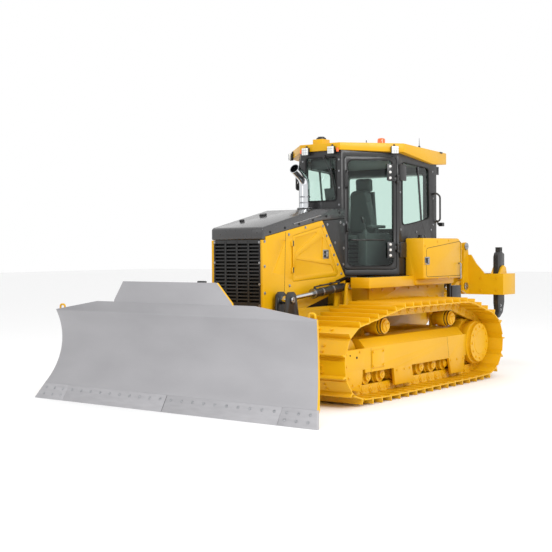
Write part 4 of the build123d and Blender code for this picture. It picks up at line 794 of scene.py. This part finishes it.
# thin steel rods along the hood's upper side edges, drawn bright as a painted highlight on that edge
fit("hood_highlight_rods", bolt_steel, [tube([(1.342, HOOD_Y + 0.001, 1.981), (0.780, HOOD_Y + 0.001, 2.094)],
                                          0.007, 0.03, 10)], BOTH)

# %% exhaust and grille
STACK_X, STACK_Y = 0.375, -0.155
GRILLE_LOW, GRILLE_HIGH = 1.02, 1.79
clamps = []
for z in (2.262, 2.335):
    clamps.append(ring((STACK_X, STACK_Y, z), UP, 0.0645, 0.071, 0.018))
    clamps.append(block((STACK_X + 0.066, STACK_Y - 0.008, z + 0.002), (STACK_X + 0.092, STACK_Y + 0.008, z + 0.016)))
fit("exhaust_clamps", bolt_steel, clamps)
fit("exhaust_flange", black_enamel,
    [turned((STACK_X, STACK_Y, 2.1775), UP, [(0, 0.098), (0.022, 0.098), (0.026, 0.092)], 40)])
bolts("exhaust_flange_bolts", bolt_steel, (0.007, 0.006, 0.010),
      [((STACK_X + 0.083 * math.cos(a), STACK_Y + 0.083 * math.sin(a), 2.203), UP)
       for a in (math.pi / 3 * k + 0.3 for k in range(6))])
mouth, outward = Vector((0.594, STACK_Y, 2.690)), Vector((0.869, 0, 0.495))
# a black disk down the stack: soot, and painted shade of the stack's dark inside
fit("exhaust_soot_and_shade", painted_shade_black, [turned(mouth - outward * 0.14, outward, [(0, 0.0565), (0.004, 0.0565)], 32)])
# a black sheet behind the bars: painted shade of the dark space behind the grille
fit("grille_shade_sheet", painted_shade_black, [block((1.884, -0.338, GRILLE_LOW), (1.888, 0.338, GRILLE_HIGH))])
fit("grille_stays", black_enamel, [block((1.9265, y - 0.072 + 0.144 * k - 0.002, GRILLE_LOW),
                                         (1.9285, y - 0.072 + 0.144 * k + 0.002, GRILLE_HIGH))
                                   for y in (-0.249, -0.083, 0.083, 0.249) for k in range(2)])
bolts("grille_bolts", bolt_steel, (0.009, 0.006, 0.014),
      [((1.926, y, z), (1, 0, 0)) for y in (-0.325, 0.325) for z in (1.06, 1.30, 1.54, 1.77)])
print("hood dressed")

# %% [markdown]
# ## Cab, outside
# Black rubber seals the panes, the doors have a grab bar and a paddle handle, and their
# hinges sit under bolted covers. Work lamps hang in front of the roof's edge, an amber
# beacon and two antennas stand on it, and a wiper rests on the windscreen.

# %% cab walls and their fittings
WALL_START = Vector((0.240, 0.310, 0))
WALL_ALONG = Vector((-0.7953, 0.6062, 0))
WALL_OUT = Vector((0.6062, 0.7953, 0))
CAB_FRONT, CAB_REAR, CAB_SIDE = 0.237, -1.337, 0.775
CAB_DOORS = ("cab_door_left", "cab_door_right")


def on_wall(along, out, z):
    """A point by its distance along the left door wall, out from it, and its height."""
    return WALL_START + WALL_ALONG * along + WALL_OUT * out + UP * z


def on_door(out, *corners):
    """Points at one distance out from the door wall, from (along, height) pairs."""
    return [on_wall(along, out, z) for along, z in corners]


def handle(start, end, out, radius=0.011):
    """A bar that stands out from the door wall between two (along, height) feet."""
    return tube(on_door(-0.002, start) + on_door(out, start, end) + on_door(-0.002, end), radius, 0.03)


def round_frame(place, low, high, corner, width, depth):
    """A flat frame round a rounded opening. place(u, v, out) gives a point on the wall."""
    outlines = []
    for r in (corner, corner + width):
        outlines.append([(cu + r * math.cos(a), cv + r * math.sin(a))
                         for cu, cv, start in ((high[0] - corner, high[1] - corner, 0),
                                               (low[0] + corner, high[1] - corner, 1),
                                               (low[0] + corner, low[1] + corner, 2),
                                               (high[0] - corner, low[1] + corner, 3))
                         for a in (math.pi / 2 * (start + k / 6) for k in range(7))])
    return [[place(u, v, out) for u, v in outlines[which]]
            for which, out in ((0, 0.0), (1, 0.0), (1, depth), (0, depth))], True


fit("door_pane_seals", seal_rubber,
    [round_frame(lambda u, v, out: on_wall(u, out - 0.003, v), (0.085, 1.478), (0.682, 2.792), 0.070, 0.014, 0.007)],
    CAB_DOORS)
fit("fixed_pane_seals", seal_rubber,
    [round_frame(lambda y, z, out: Vector((CAB_FRONT + out, y, z)), (-0.225, 2.300), (0.225, 2.830), 0.030, 0.016,
                 0.008),
     round_frame(lambda y, z, out: Vector((CAB_REAR - out, y, z)), (-0.600, 1.960), (0.600, 2.690), 0.060, 0.016,
                 0.008)])
fit("side_pane_seals", seal_rubber,
    [tube([(x, CAB_SIDE + 0.001, z) for x, z in ((-0.785, 2.025), (-0.447, 1.984), (-0.447, 2.782),
                                                 (-1.123, 2.738), (-1.143, 2.084), (-0.785, 2.028))],
          0.007, 0.06, 8)], BOTH)

HINGE_COVERS = ((1.575, 1.772), (2.545, 2.752))     # heights
grips = [handle((0.060, 2.450), (0.060, 2.660), 0.055),
         plate(on_door(-0.001, (0.046, 1.880), (0.080, 1.880), (0.080, 2.030), (0.046, 2.030)), WALL_OUT * 0.012),
         tube(on_door(0.005, (0.062, 1.905)) + on_door(0.038, (0.062, 1.905), (0.062, 2.010)), 0.009, 0.02, 10),
         handle((0.110, 1.800), (0.560, 1.800), 0.040, 0.010)]
grips += [plate(on_door(-0.001, (0.600, low), (0.702, low), (0.702, high), (0.600, high)), WALL_OUT * 0.021)
          for low, high in HINGE_COVERS]
fit("door_handles", black_enamel, grips, CAB_DOORS, 0.003)
bolts("door_hinge_bolts", white_steel, (0.012, 0.008, 0.017),
      [(on_wall(0.640, 0.020, low + (high - low) * share), WALL_OUT)
       for low, high in HINGE_COVERS for share in (0.15, 0.5, 0.85)], CAB_DOORS)
fit("hinge_covers", grey_enamel, [block((-0.510, CAB_SIDE - 0.001, low), (-0.356, CAB_SIDE + 0.031, high))
                                  for low, high in HINGE_COVERS], BOTH, 0.012)

# %% lamps, beacon, antennas, wiper
LAMP_Z = 2.9185
BEACON_X, BEACON_Y = -0.400, 0.498
SLANT_OUT = Vector((0.686, 0.7276, 0))
housings, rims, lenses = [], [], []
for centre, out in ((Vector((0.2923, 0.195, LAMP_Z)), Vector((1, 0, 0))),
                    (Vector((-0.241, 0.780, 0)) + SLANT_OUT * 0.030 + UP * LAMP_Z, SLANT_OUT)):
    side_way = UP.cross(out)
    for solids, half, low, high in ((housings, 0.044, -0.030, 0.002), (rims, 0.045, 0.000, 0.007),
                                    (lenses, 0.0435, 0.006, 0.028)):
        solids.append(plate([centre + side_way * u * half + UP * v * half * 1.03 + out * low
                             for u, v in ((-1, -1), (1, -1), (1, 1), (-1, 1))], out * (high - low)))
    # a guard grid in front of the lens
    for shift in (-0.015, 0.015):
        for way, other in ((side_way, UP), (UP, side_way)):
            corner = centre + way * (shift - 0.0012) - other * 0.043 + out * 0.027
            rims.append(plate([corner, corner + way * 0.0024, corner + way * 0.0024 + other * 0.086,
                               corner + other * 0.086], out * 0.0022))
    housings.append(tube([centre + UP * 0.04 - out * 0.02, centre + UP * 0.066 - out * 0.02,
                          centre + UP * 0.066 - out * 0.06], 0.010, 0.01, 8))
for piece in fit("work_lamp_body", black_enamel, housings, BOTH, 0.006):
    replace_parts(piece, "roof_lamps")
fit("work_lamp_rim", cab_plastic, rims, BOTH, 0.006)
fit("work_lamp_lens", clear_lens, lenses, BOTH, 0.006)
fit("marker_lamp", amber_lens, [block((0.262, -0.290, 2.895), (0.285, -0.262, 2.945))], BOTH, 0.005)

dome = turned((BEACON_X, BEACON_Y, 3.022), UP,
              [(0, 0.050), (0.055, 0.050), (0.068, 0.044), (0.076, 0.030), (0.078, 0.010)], 36)
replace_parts(fit("beacon_lens", amber_lens, [dome])[0], "beacon")
fit("beacon_base", black_enamel,
    [turned((BEACON_X, BEACON_Y, 3.0025), UP, [(0, 0.053), (0.018, 0.053), (0.022, 0.048)], 36)])
# the air intake's domed cap on the roof is black
repaint(finished["cab_roof"], black_enamel,
        lambda place, normal: place.z > 3.0755 and abs(place.x - 0.135) < 0.08 and abs(place.y + 0.062) < 0.08)
fit("antennas", black_enamel,
    [turned((-0.150, 0.430, 3.002), UP, [(0, 0.016), (0.012, 0.016), (0.014, 0.006), (0.055, 0.005)], 12),
     turned((-0.790, 0.828, 2.986), UP, [(0, 0.016), (0.020, 0.014), (0.026, 0.004), (0.121, 0.002)], 12),
     block((-1.440, 0.775, 2.952), (-1.370, 0.815, 2.972)), block((-1.440, -0.815, 2.952), (-1.370, -0.775, 2.972))])
fit("wiper", black_enamel,
    [turned((0.2405, 0.060, 2.845), (1, 0, 0), [(0, 0.022), (0.018, 0.020), (0.022, 0.012)], 18),
     tube([(0.262, 0.060, 2.845), (0.270, 0.085, 2.790), (0.256, 0.195, 2.560)], 0.006, 0.02, 8),
     plate([(0.246, 0.140, 2.790), (0.246, 0.150, 2.793), (0.246, 0.236, 2.352), (0.246, 0.226, 2.349)],
           (0.012, 0, 0))])

# %% rear corner: grab rail, camera bracket and pillar bolts
fit("rear_grab_rails", black_enamel,
    [tube([(-1.225, 0.772, 2.405), (-1.225, 0.838, 2.418), (-1.325, 0.838, 2.380), (-1.325, 0.838, 2.055),
           (-1.300, 0.772, 2.040)], 0.012, 0.05),
     block((-1.460, 0.700, 2.035), (-1.338, 0.716, 2.060)),
     tube([(-1.460, 0.708, 2.060), (-1.500, 0.708, 2.060), (-1.500, 0.708, 2.010), (-1.500, 0.760, 2.010)],
          0.010, 0.02, 10),
     block((-1.530, 0.735, 1.985), (-1.470, 0.790, 2.035))], BOTH)
bolts("pillar_bolts", bolt_steel, (0.009, 0.006, 0.014),
      on_left(CAB_SIDE, ((-1.235, 2.70), (-1.245, 2.35), (-1.245, 2.00), (-0.405, 1.93), (-0.800, 1.905),
                         (-1.190, 1.935), (-0.395, 2.40))), BOTH)
bolts("roof_bolts", black_enamel, (0.010, 0.006, 0.016),
      [((x, side * 0.80, 2.93), (0, side, 0)) for side in (1, -1) for x in (-0.7, -1.1)])
bolts("cowl_bolts", bolt_steel, (0.008, 0.006, 0.012),
      [((0.240, y, z), (1, 0, 0)) for y in (-0.275, 0.275) for z in (2.24, 2.45, 2.66, 2.80)])
print("cab dressed outside")

# %% [markdown]
# ## Cab, inside
# The driver's seat is foam under vinyl: three cushions that swell between their seams on a
# moulded shell. Each is blown up with Blender's cloth solver from a slightly smaller block,
# then its sewn channels are pressed in. Levers stand on the consoles on either side.

# %% seat cushions
SEAT = Vector((-0.520, 0.0, 1.7406))
CLOTH_STEPS = 20
SWELL_LIMIT = 0.016      # how far the foam may push the vinyl out
CHANNEL_DEPTH, CHANNEL_HALF_WIDTH = 0.009, 0.010


def from_seat(x, y, z):
    """A point by its distance from the middle of the seat's base."""
    return SEAT + Vector((x, y, z))


def blown(mesh, name):
    """A mesh swollen by the cloth solver, nowhere by more than the limit."""
    draft = draft_of(mesh, name)
    cloth = draft.modifiers.new("foam", "CLOTH")
    cloth.settings.use_pressure = True
    cloth.settings.uniform_pressure_force = 4.0
    cloth.settings.effector_weights.gravity = 0.0
    for step in range(1, CLOTH_STEPS + 1):
        bpy.context.scene.frame_set(step)
    swollen = evaluated(draft)
    bpy.context.scene.frame_set(1)
    bpy.data.objects.remove(draft)
    for vertex, rest in zip(swollen.vertices, mesh.vertices):
        swell = vertex.co - rest.co
        if swell.length > SWELL_LIMIT:
            vertex.co = rest.co + swell.normalized() * SWELL_LIMIT
    return swollen


def cushion(name, place, size, tilt, channels=(), taper=0.0):
    """A padded block: size along its own axes, tilted about Y, with channels pressed in across it."""
    shape = bmesh.new()
    bmesh.ops.create_cube(shape, size=1.0)
    bmesh.ops.scale(shape, vec=size, verts=shape.verts)
    corners = [edge for edge in shape.edges if abs(edge.verts[0].co.z - edge.verts[1].co.z) > size[2] * 0.5]
    bmesh.ops.bevel(shape, geom=corners, offset=min(size[:2]) * 0.22, segments=4, profile=0.5, affect="EDGES")
    rims = [edge for edge in shape.edges if abs(edge.verts[0].co.z - edge.verts[1].co.z) < size[2] * 0.5]
    bmesh.ops.bevel(shape, geom=rims, offset=min(size) * 0.32, segments=3, profile=0.6, affect="EDGES")
    for vertex in shape.verts:
        vertex.co.y *= 1 - taper * (vertex.co.x / size[0] + 0.5)
    mesh = bpy.data.meshes.new(name)
    shape.to_mesh(mesh)
    shape.free()
    mesh = modified(mesh, name, "REMESH", mode="VOXEL", voxel_size=0.006)
    mesh = blown(mesh, name)
    for vertex in mesh.vertices:
        for channel in channels:
            press = CHANNEL_DEPTH * math.exp(-((vertex.co.x - channel) / CHANNEL_HALF_WIDTH) ** 2)
            vertex.co.z -= press if vertex.co.z > 0.01 else 0.0
    mesh.transform(Matrix.Translation(place) @ Matrix.Rotation(tilt, 4, "Y"))
    piece = finish_mesh(name, mesh, seat_vinyl, "chassis", 60.0)
    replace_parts(piece, "seat")


cushion("seat_cushion", from_seat(0.010, 0, 0.066), (0.455, 0.435, 0.075), math.radians(-2), (-0.13, -0.02, 0.09))
cushion("back_cushion", from_seat(-0.193, 0, 0.435), (0.590, 0.450, 0.080), math.radians(-81),
        (-0.15, -0.02, 0.11), 0.34)
cushion("headrest", from_seat(-0.255, 0, 0.790), (0.180, 0.245, 0.065), math.radians(-84))

shell = [block(from_seat(-0.245, -0.235, 0.001), from_seat(0.240, 0.235, 0.022)),
         plate([from_seat(x, -0.225, z) for x, z in ((-0.235, 0.020), (-0.320, 0.700), (-0.318, 0.705),
                                                     (-0.276, 0.700), (-0.192, 0.020))], (0, 0.450, 0))]
# the shell's back narrows towards its top
for rings, hollow in shell:
    for point in (point for points in rings for point in points):
        point.y *= 1 - 0.44 * min(max((point.z - SEAT.z - 0.05) / 0.65, 0), 1)
shell += [tube([from_seat(-0.300, y, 0.660), from_seat(-0.302, y, 0.790)], 0.006, 0.02, 8) for y in (-0.055, 0.055)]
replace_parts(fit("seat_shell", cab_plastic, shell, bevel=0.006)[0], "seat")
fit("belt_buckles", black_enamel, [block(from_seat(-0.20, side * 0.238 - 0.012, 0.030),
                                         from_seat(-0.15, side * 0.238 + 0.012, 0.115)) for side in (1, -1)],
    bevel=0.004)
slides = [block(from_seat(-0.18, side * 0.14 - 0.02, -0.013), from_seat(0.24, side * 0.14 + 0.02, -0.001))
          for side in (1, -1)]
bellows = [block((-0.706, -0.196, z), (-0.3285, 0.196, z + 0.024)) for z in (1.455 + k * 0.055 for k in range(5))]
fit("seat_bellows", hose_rubber, slides + bellows, bevel=0.008)

# %% consoles, levers and display
CONSOLE_TOP = 1.889
controls, knobs, armrests = [], [], []
for side in (1, -1):
    y = side * 0.335
    armrests.append(block((-0.700, y - 0.048, 1.955), (-0.360, y + 0.048, 1.995)))
    controls.append(block((-0.560, y - 0.020, 1.880), (-0.500, y + 0.020, 1.960)))
    # joystick: a bellows boot, a bent stem and a grip
    controls.append(turned((-0.262, y, CONSOLE_TOP), UP,
                           [(0, 0.042), (0.012, 0.040), (0.016, 0.032), (0.028, 0.032), (0.032, 0.024),
                            (0.044, 0.024), (0.050, 0.012)], 24))
    controls.append(tube([(-0.262, y, 1.935), (-0.258, y, 1.990), (-0.245, y - side * 0.012, 2.030)],
                         0.009, 0.03, 12))
    knobs.append(turned((-0.247, y - side * 0.010, 2.018), (0.22, -side * 0.2, 1),
                        [(0, 0.013), (0.012, 0.021), (0.045, 0.024), (0.078, 0.022), (0.092, 0.012)], 20))
    knobs += [turned((-0.420 + 0.045 * k, y, CONSOLE_TOP), UP, [(0, 0.012), (0.014, 0.011), (0.017, 0.006)], 16)
              for k in range(4)]
    knobs += [block((-0.700 + 0.050 * k, y + side * 0.010, CONSOLE_TOP),
                    (-0.672 + 0.050 * k, y + side * 0.040, CONSOLE_TOP + 0.008)) for k in range(3)]
# display on an arm over the front console
monitor = Matrix.Translation((0.080, 0.105, 2.375)) @ Matrix.Rotation(math.radians(12), 4, "Y")


def on_monitor(low, high):
    """A box in the display's own axes."""
    return [[monitor @ point for point in points] for points in block(low, high)[0]], False


controls.append(on_monitor((0.0, -0.130, -0.085), (0.036, 0.130, 0.085)))
controls.append(tube([(0.110, 0.105, 2.238), (0.110, 0.105, 2.310), (0.095, 0.105, 2.345)], 0.014, 0.02, 12))
# pedals and their arms in front of the seat
for y in (-0.13, 0.0, 0.13):
    controls.append(plate([(-0.030, y - 0.045, 1.500), (-0.030, y + 0.045, 1.500), (0.012, y + 0.045, 1.630),
                           (0.012, y - 0.045, 1.630)], (0.012, 0, -0.004)))
    controls.append(tube([(0.010, y, 1.565), (0.026, y, 1.555)], 0.010, 0.01, 8))
fit("cab_controls", cab_plastic, controls, bevel=0.003)
fit("cab_knobs", black_enamel, knobs, bevel=0.002)
fit("armrests", seat_vinyl, armrests, bevel=0.014)
fit("display", screen_glass, [on_monitor((-0.0025, -0.112, -0.066), (0.001, 0.112, 0.070))])

# a pale ceiling panel with vents, a rear shelf, a mat, a mirror and a sun blind
lining = [plate([(0.120, -0.230, 2.905), (0.120, 0.230, 2.905), (-0.380, 0.640, 2.880), (-1.250, 0.640, 2.785),
                 (-1.250, -0.640, 2.785), (-0.380, -0.640, 2.880)], (0, 0, -0.014)),
          block((-1.285, -0.640, 1.790), (-0.905, 0.640, 1.830))]
lining += [turned((-0.300, y, 2.872), (0, 0, -1), [(0, 0.045), (0.012, 0.042), (0.014, 0.030)], 24)
           for y in (-0.30, 0.30)]
fit("cab_lining", cab_plastic, lining, bevel=0.004)
fit("cab_mat", hose_rubber, [block((-0.900, -0.262, 1.4105), (0.015, 0.262, 1.4165))])
fit("cab_mirror", black_enamel,
    [turned((0.150, 0.0, 2.790), (-1, 0, -0.2), [(0, 0.012), (0.02, 0.060), (0.028, 0.062), (0.032, 0.055)], 24),
     block((0.165, -0.200, 2.700), (0.172, 0.200, 2.830))], bevel=0.002)
print("cab dressed inside")

# %% [markdown]
# ## Rear housing and steps
# Tanks wrap round the cab's back. Their lids and latches, the seams between the welded
# panels and the steps up to the cab make the size of the machine readable.

# %% housing fittings
HOUSE_Y = 1.056
fit("housing_seams", seal_rubber,
    [tube([(x, HOUSE_Y, z) for x, z in ((-1.000, 1.330), (-0.560, 1.330), (-0.560, 1.690), (-1.490, 1.785),
                                        (-1.490, 1.330), (-1.000, 1.330))], 0.0028, 0.05, 6)], BOTH)
# the tank latch's hollow as a black patch of painted shade, the filler cap, and the tail lamp with its bracket
fit("housing_hardware", black_enamel,
    [block((-0.622, HOUSE_Y + 0.004, 1.498), (-0.528, HOUSE_Y + 0.0075, 1.570)),
     turned((-0.700, 0.915, 1.819), UP, [(0, 0.062), (0.012, 0.062), (0.014, 0.050), (0.040, 0.050),
                                         (0.044, 0.044)], 36),
     block((-1.797, 0.828, 0.998), (-1.540, 0.900, 1.188)),
     block((-1.545, 0.840, 1.020), (-1.500, 0.888, 1.330))], BOTH, 0.004)
fit("housing_rail", bolt_steel,
    [block((-0.634, HOUSE_Y - 0.001, 1.486), (-0.516, HOUSE_Y + 0.006, 1.582)),
     block((-0.614, HOUSE_Y + 0.006, 1.506), (-0.572, HOUSE_Y + 0.016, 1.562)),
     tube([(-1.425, HOUSE_Y - 0.002, 1.490), (-1.425, HOUSE_Y + 0.032, 1.490), (-1.425, HOUSE_Y + 0.032, 1.290),
           (-1.425, HOUSE_Y - 0.002, 1.290)], 0.011, 0.02)], BOTH)
bolts("housing_bolts", yellow_enamel, (0.009, 0.006, 0.015),
      on_left(HOUSE_Y, ((-0.530, 1.320), (-0.530, 1.500), (-0.530, 1.720), (-0.850, 1.310), (-1.150, 1.310),
                        (-1.510, 1.320), (-1.510, 1.500), (-1.510, 1.680), (-0.850, 1.775), (-1.150, 1.790))), BOTH)
bolts("fender_bolts", yellow_enamel, (0.012, 0.008, 0.019),
      on_left(0.7485, [(x, z) for x in (-1.40, -1.15, -0.90, -0.65, -0.30, 0.0, 0.24) for z in (1.05, 1.185)]), BOTH)
# rubber treads on the ledge beside the hood
fit("step_treads", hose_rubber, [block((x, 0.700, 1.3455), (x + 0.060, 0.890, 1.3505))
                                 for x in (-0.420 + k * 0.108 for k in range(9))], BOTH, 0.002)
fit("rear_lamps", black_enamel, [block((-1.585, y - 0.055, 1.600), (-1.531, y + 0.055, 1.680))
                                 for y in (0.80, -0.80)], bevel=0.005)
fit("rear_lenses", clear_lens, [block((-1.590, y - 0.045, 1.608), (-1.584, y + 0.045, 1.672))
                                for y in (0.80, -0.80)], bevel=0.002)
fit("rear_grab_bars", black_enamel,
    [tube([(-1.528, y, 1.380), (-1.575, y, 1.380), (-1.575, y, 1.720), (-1.528, y, 1.720)], 0.013, 0.03)
     for y in (0.955, -0.955)])

# %% [markdown]
# ## Ripper
# Big pins join its links, and each shank has a bolted tooth.

# %% ripper fittings
LINK_BASE_X, LINK_BASE_Z = -1.894, 0.760
LINK_TIP_X, LINK_TIP_Z = -2.710, 1.140
LINK_RISE_Z = 0.575     # from the lower links to the upper ones
SHANK_SPACING, SHANK_HALF = 0.9, 0.0375
pin_caps = []
for y, z in ((0.5115, LINK_TIP_Z), (0.5155, LINK_TIP_Z + LINK_RISE_Z)):
    pin_caps.append(turned((LINK_TIP_X, y, z), LEFT, [(0, 0.052), (0.010, 0.052), (0.014, 0.046)], 32))
    pin_caps.append(turned((LINK_TIP_X, y + 0.012, z), LEFT, [(0, 0.013), (0.009, 0.013)], 6))
fit("ripper_pin_caps", bolt_steel, pin_caps, ("ripper_frame", "ripper_frame"))
for rider, z in (("ripper_links", LINK_BASE_Z), ("ripper_upper_links", LINK_BASE_Z + LINK_RISE_Z)):
    fit("link_collars_" + rider, bolt_steel, [ring((LINK_BASE_X, 0.4395, z), LEFT, 0.030, 0.050, 0.006)],
        (rider, rider))
bolts("beam_bolts", yellow_enamel, (0.014, 0.010, 0.022),
      [((-2.8, side * y, z), (1, 0, 0)) for side in (1, -1) for y in (0.30, 0.70, 0.95) for z in (1.08, 1.26)],
      ("ripper_frame",))
bolts("tooth_bolts", bolt_steel, (0.015, 0.008, 0.021),
      [((x, shank * SHANK_SPACING + side * SHANK_HALF, z), (0, side, 0)) for shank in (-1, 0, 1)
       for side in (1, -1) for x, z in ((-2.955, 0.800), (-2.955, 0.860), (-2.975, 1.120))], ("ripper_shanks",))
print("rear dressed")

# %% [markdown]
# ## Pipes
# The oil pipes are short and of fixed shape. They run from the frame to the ports of the
# cylinders and along the push arms.

# %% fixed oil pipes
arm_pipes = [tube([(0.660, 0.6215, 0.452 + offset), (1.000, 0.6315, 0.452 + offset),
                   (1.440, 0.6315, 0.500 + offset)], 0.0085, 0.06, 10) for offset in (0.0, 0.030)]
arm_clamps = [block((x - 0.012, 0.6185, 0.436), (x + 0.012, 0.6440, 0.520)) for x in (0.72, 1.05, 1.38)]
fit("push_arm_pipes", hose_rubber, arm_pipes + arm_clamps, ("push_frame", "push_frame"))
# two elbows cross from the engine to the ledge behind each lift cylinder
fit("lift_elbows", hose_rubber, [tube([(x, 0.366, 1.285), (x, 0.520, 1.345), (x, 0.640, 1.345),
                                       (x, 0.680, 1.280)], 0.017, 0.05, 12) for x in (0.415, 0.462)], BOTH)
print("pipes fitted")

# %% [markdown]
# ## Studio
# A pale floor, a big soft key light high on the left of the camera, a fill from the
# right and a light sky keep the shadows short and soft, as in a catalogue picture. The
# camera is low and stands ahead of the machine's left front corner.

# %% floor, lights and camera
FLOOR_HALF, FLOOR_TOP, FLOOR_BOTTOM = 60, -0.0005, -0.02
CAMERA_PLACE = (11.4332, 7.7204, 1.6896)
CAMERA_YAW, CAMERA_PITCH, CAMERA_ROLL = 3.7874, -0.0247, -0.0063
CAMERA_LENS, SENSOR_WIDTH = 70.37, 36.0     # millimetres

floor_paint, floor_tree, floor_output, floor_place = blank_material("studio_floor")
floor_shader = add(floor_tree, "ShaderNodeBsdfPrincipled", {"Base Color": linear("#F6F6F6"), "Roughness": 0.85,
                                                            "Specular IOR Level": 0.2})
floor_tree.links.new(floor_shader.outputs["BSDF"], floor_output.inputs["Surface"])
floor_shape = bmesh.new()
bmesh.ops.create_cube(floor_shape, size=1.0, matrix=Matrix.LocRotScale(
    Vector((0, 0, (FLOOR_BOTTOM + FLOOR_TOP) / 2)), None,
    Vector((2 * FLOOR_HALF, 2 * FLOOR_HALF, FLOOR_TOP - FLOOR_BOTTOM))))
floor_mesh = bpy.data.meshes.new("floor")
floor_shape.to_mesh(floor_mesh)
floor_shape.free()
floor_mesh.materials.append(floor_paint)
floor = bpy.data.objects.new("floor", floor_mesh)
bpy.context.scene.collection.objects.link(floor)

world = bpy.data.worlds.new("studio_sky")
bpy.context.scene.world = world
world.use_nodes = True
world.node_tree.nodes["Background"].inputs["Color"].default_value = (1.0, 1.0, 1.0, 1.0)
world.node_tree.nodes["Background"].inputs["Strength"].default_value = 1.0
bpy.context.scene.view_settings.view_transform = "Standard"


def softbox(name, place, target, size, power):
    """A square area light aimed at a point."""
    data = bpy.data.lights.new(name, "AREA")
    data.shape = "SQUARE"
    data.size = size
    data.energy = power
    lamp = bpy.data.objects.new(name, data)
    lamp.location = place
    lamp.rotation_euler = (Vector(target) - Vector(place)).to_track_quat("-Z", "Y").to_euler()
    bpy.context.scene.collection.objects.link(lamp)


softbox("key", (5.0, 9.0, 7.0), (0, 0, 1), 5.0, 620)
softbox("front_fill", (12.0, -2.0, 5.0), (0, 0, 1), 5.0, 60)
softbox("top", (0.0, 0.0, 10.0), (0, 0, 0), 6.0, 120)

camera_data = bpy.data.cameras.new("camera")
camera_data.sensor_width = SENSOR_WIDTH
camera_data.lens = CAMERA_LENS
camera = bpy.data.objects.new("camera", camera_data)
level = math.cos(CAMERA_PITCH)
forward = Vector((level * math.cos(CAMERA_YAW), level * math.sin(CAMERA_YAW), math.sin(CAMERA_PITCH)))
level_right = Vector((math.sin(CAMERA_YAW), -math.cos(CAMERA_YAW), 0.0))
level_up = level_right.cross(forward)
right = math.cos(CAMERA_ROLL) * level_right + math.sin(CAMERA_ROLL) * level_up
up = math.cos(CAMERA_ROLL) * level_up - math.sin(CAMERA_ROLL) * level_right
camera.matrix_world = Matrix.Translation(CAMERA_PLACE) @ Matrix((right, up, -forward)).transposed().to_4x4()
bpy.context.scene.collection.objects.link(camera)
bpy.context.scene.camera = camera
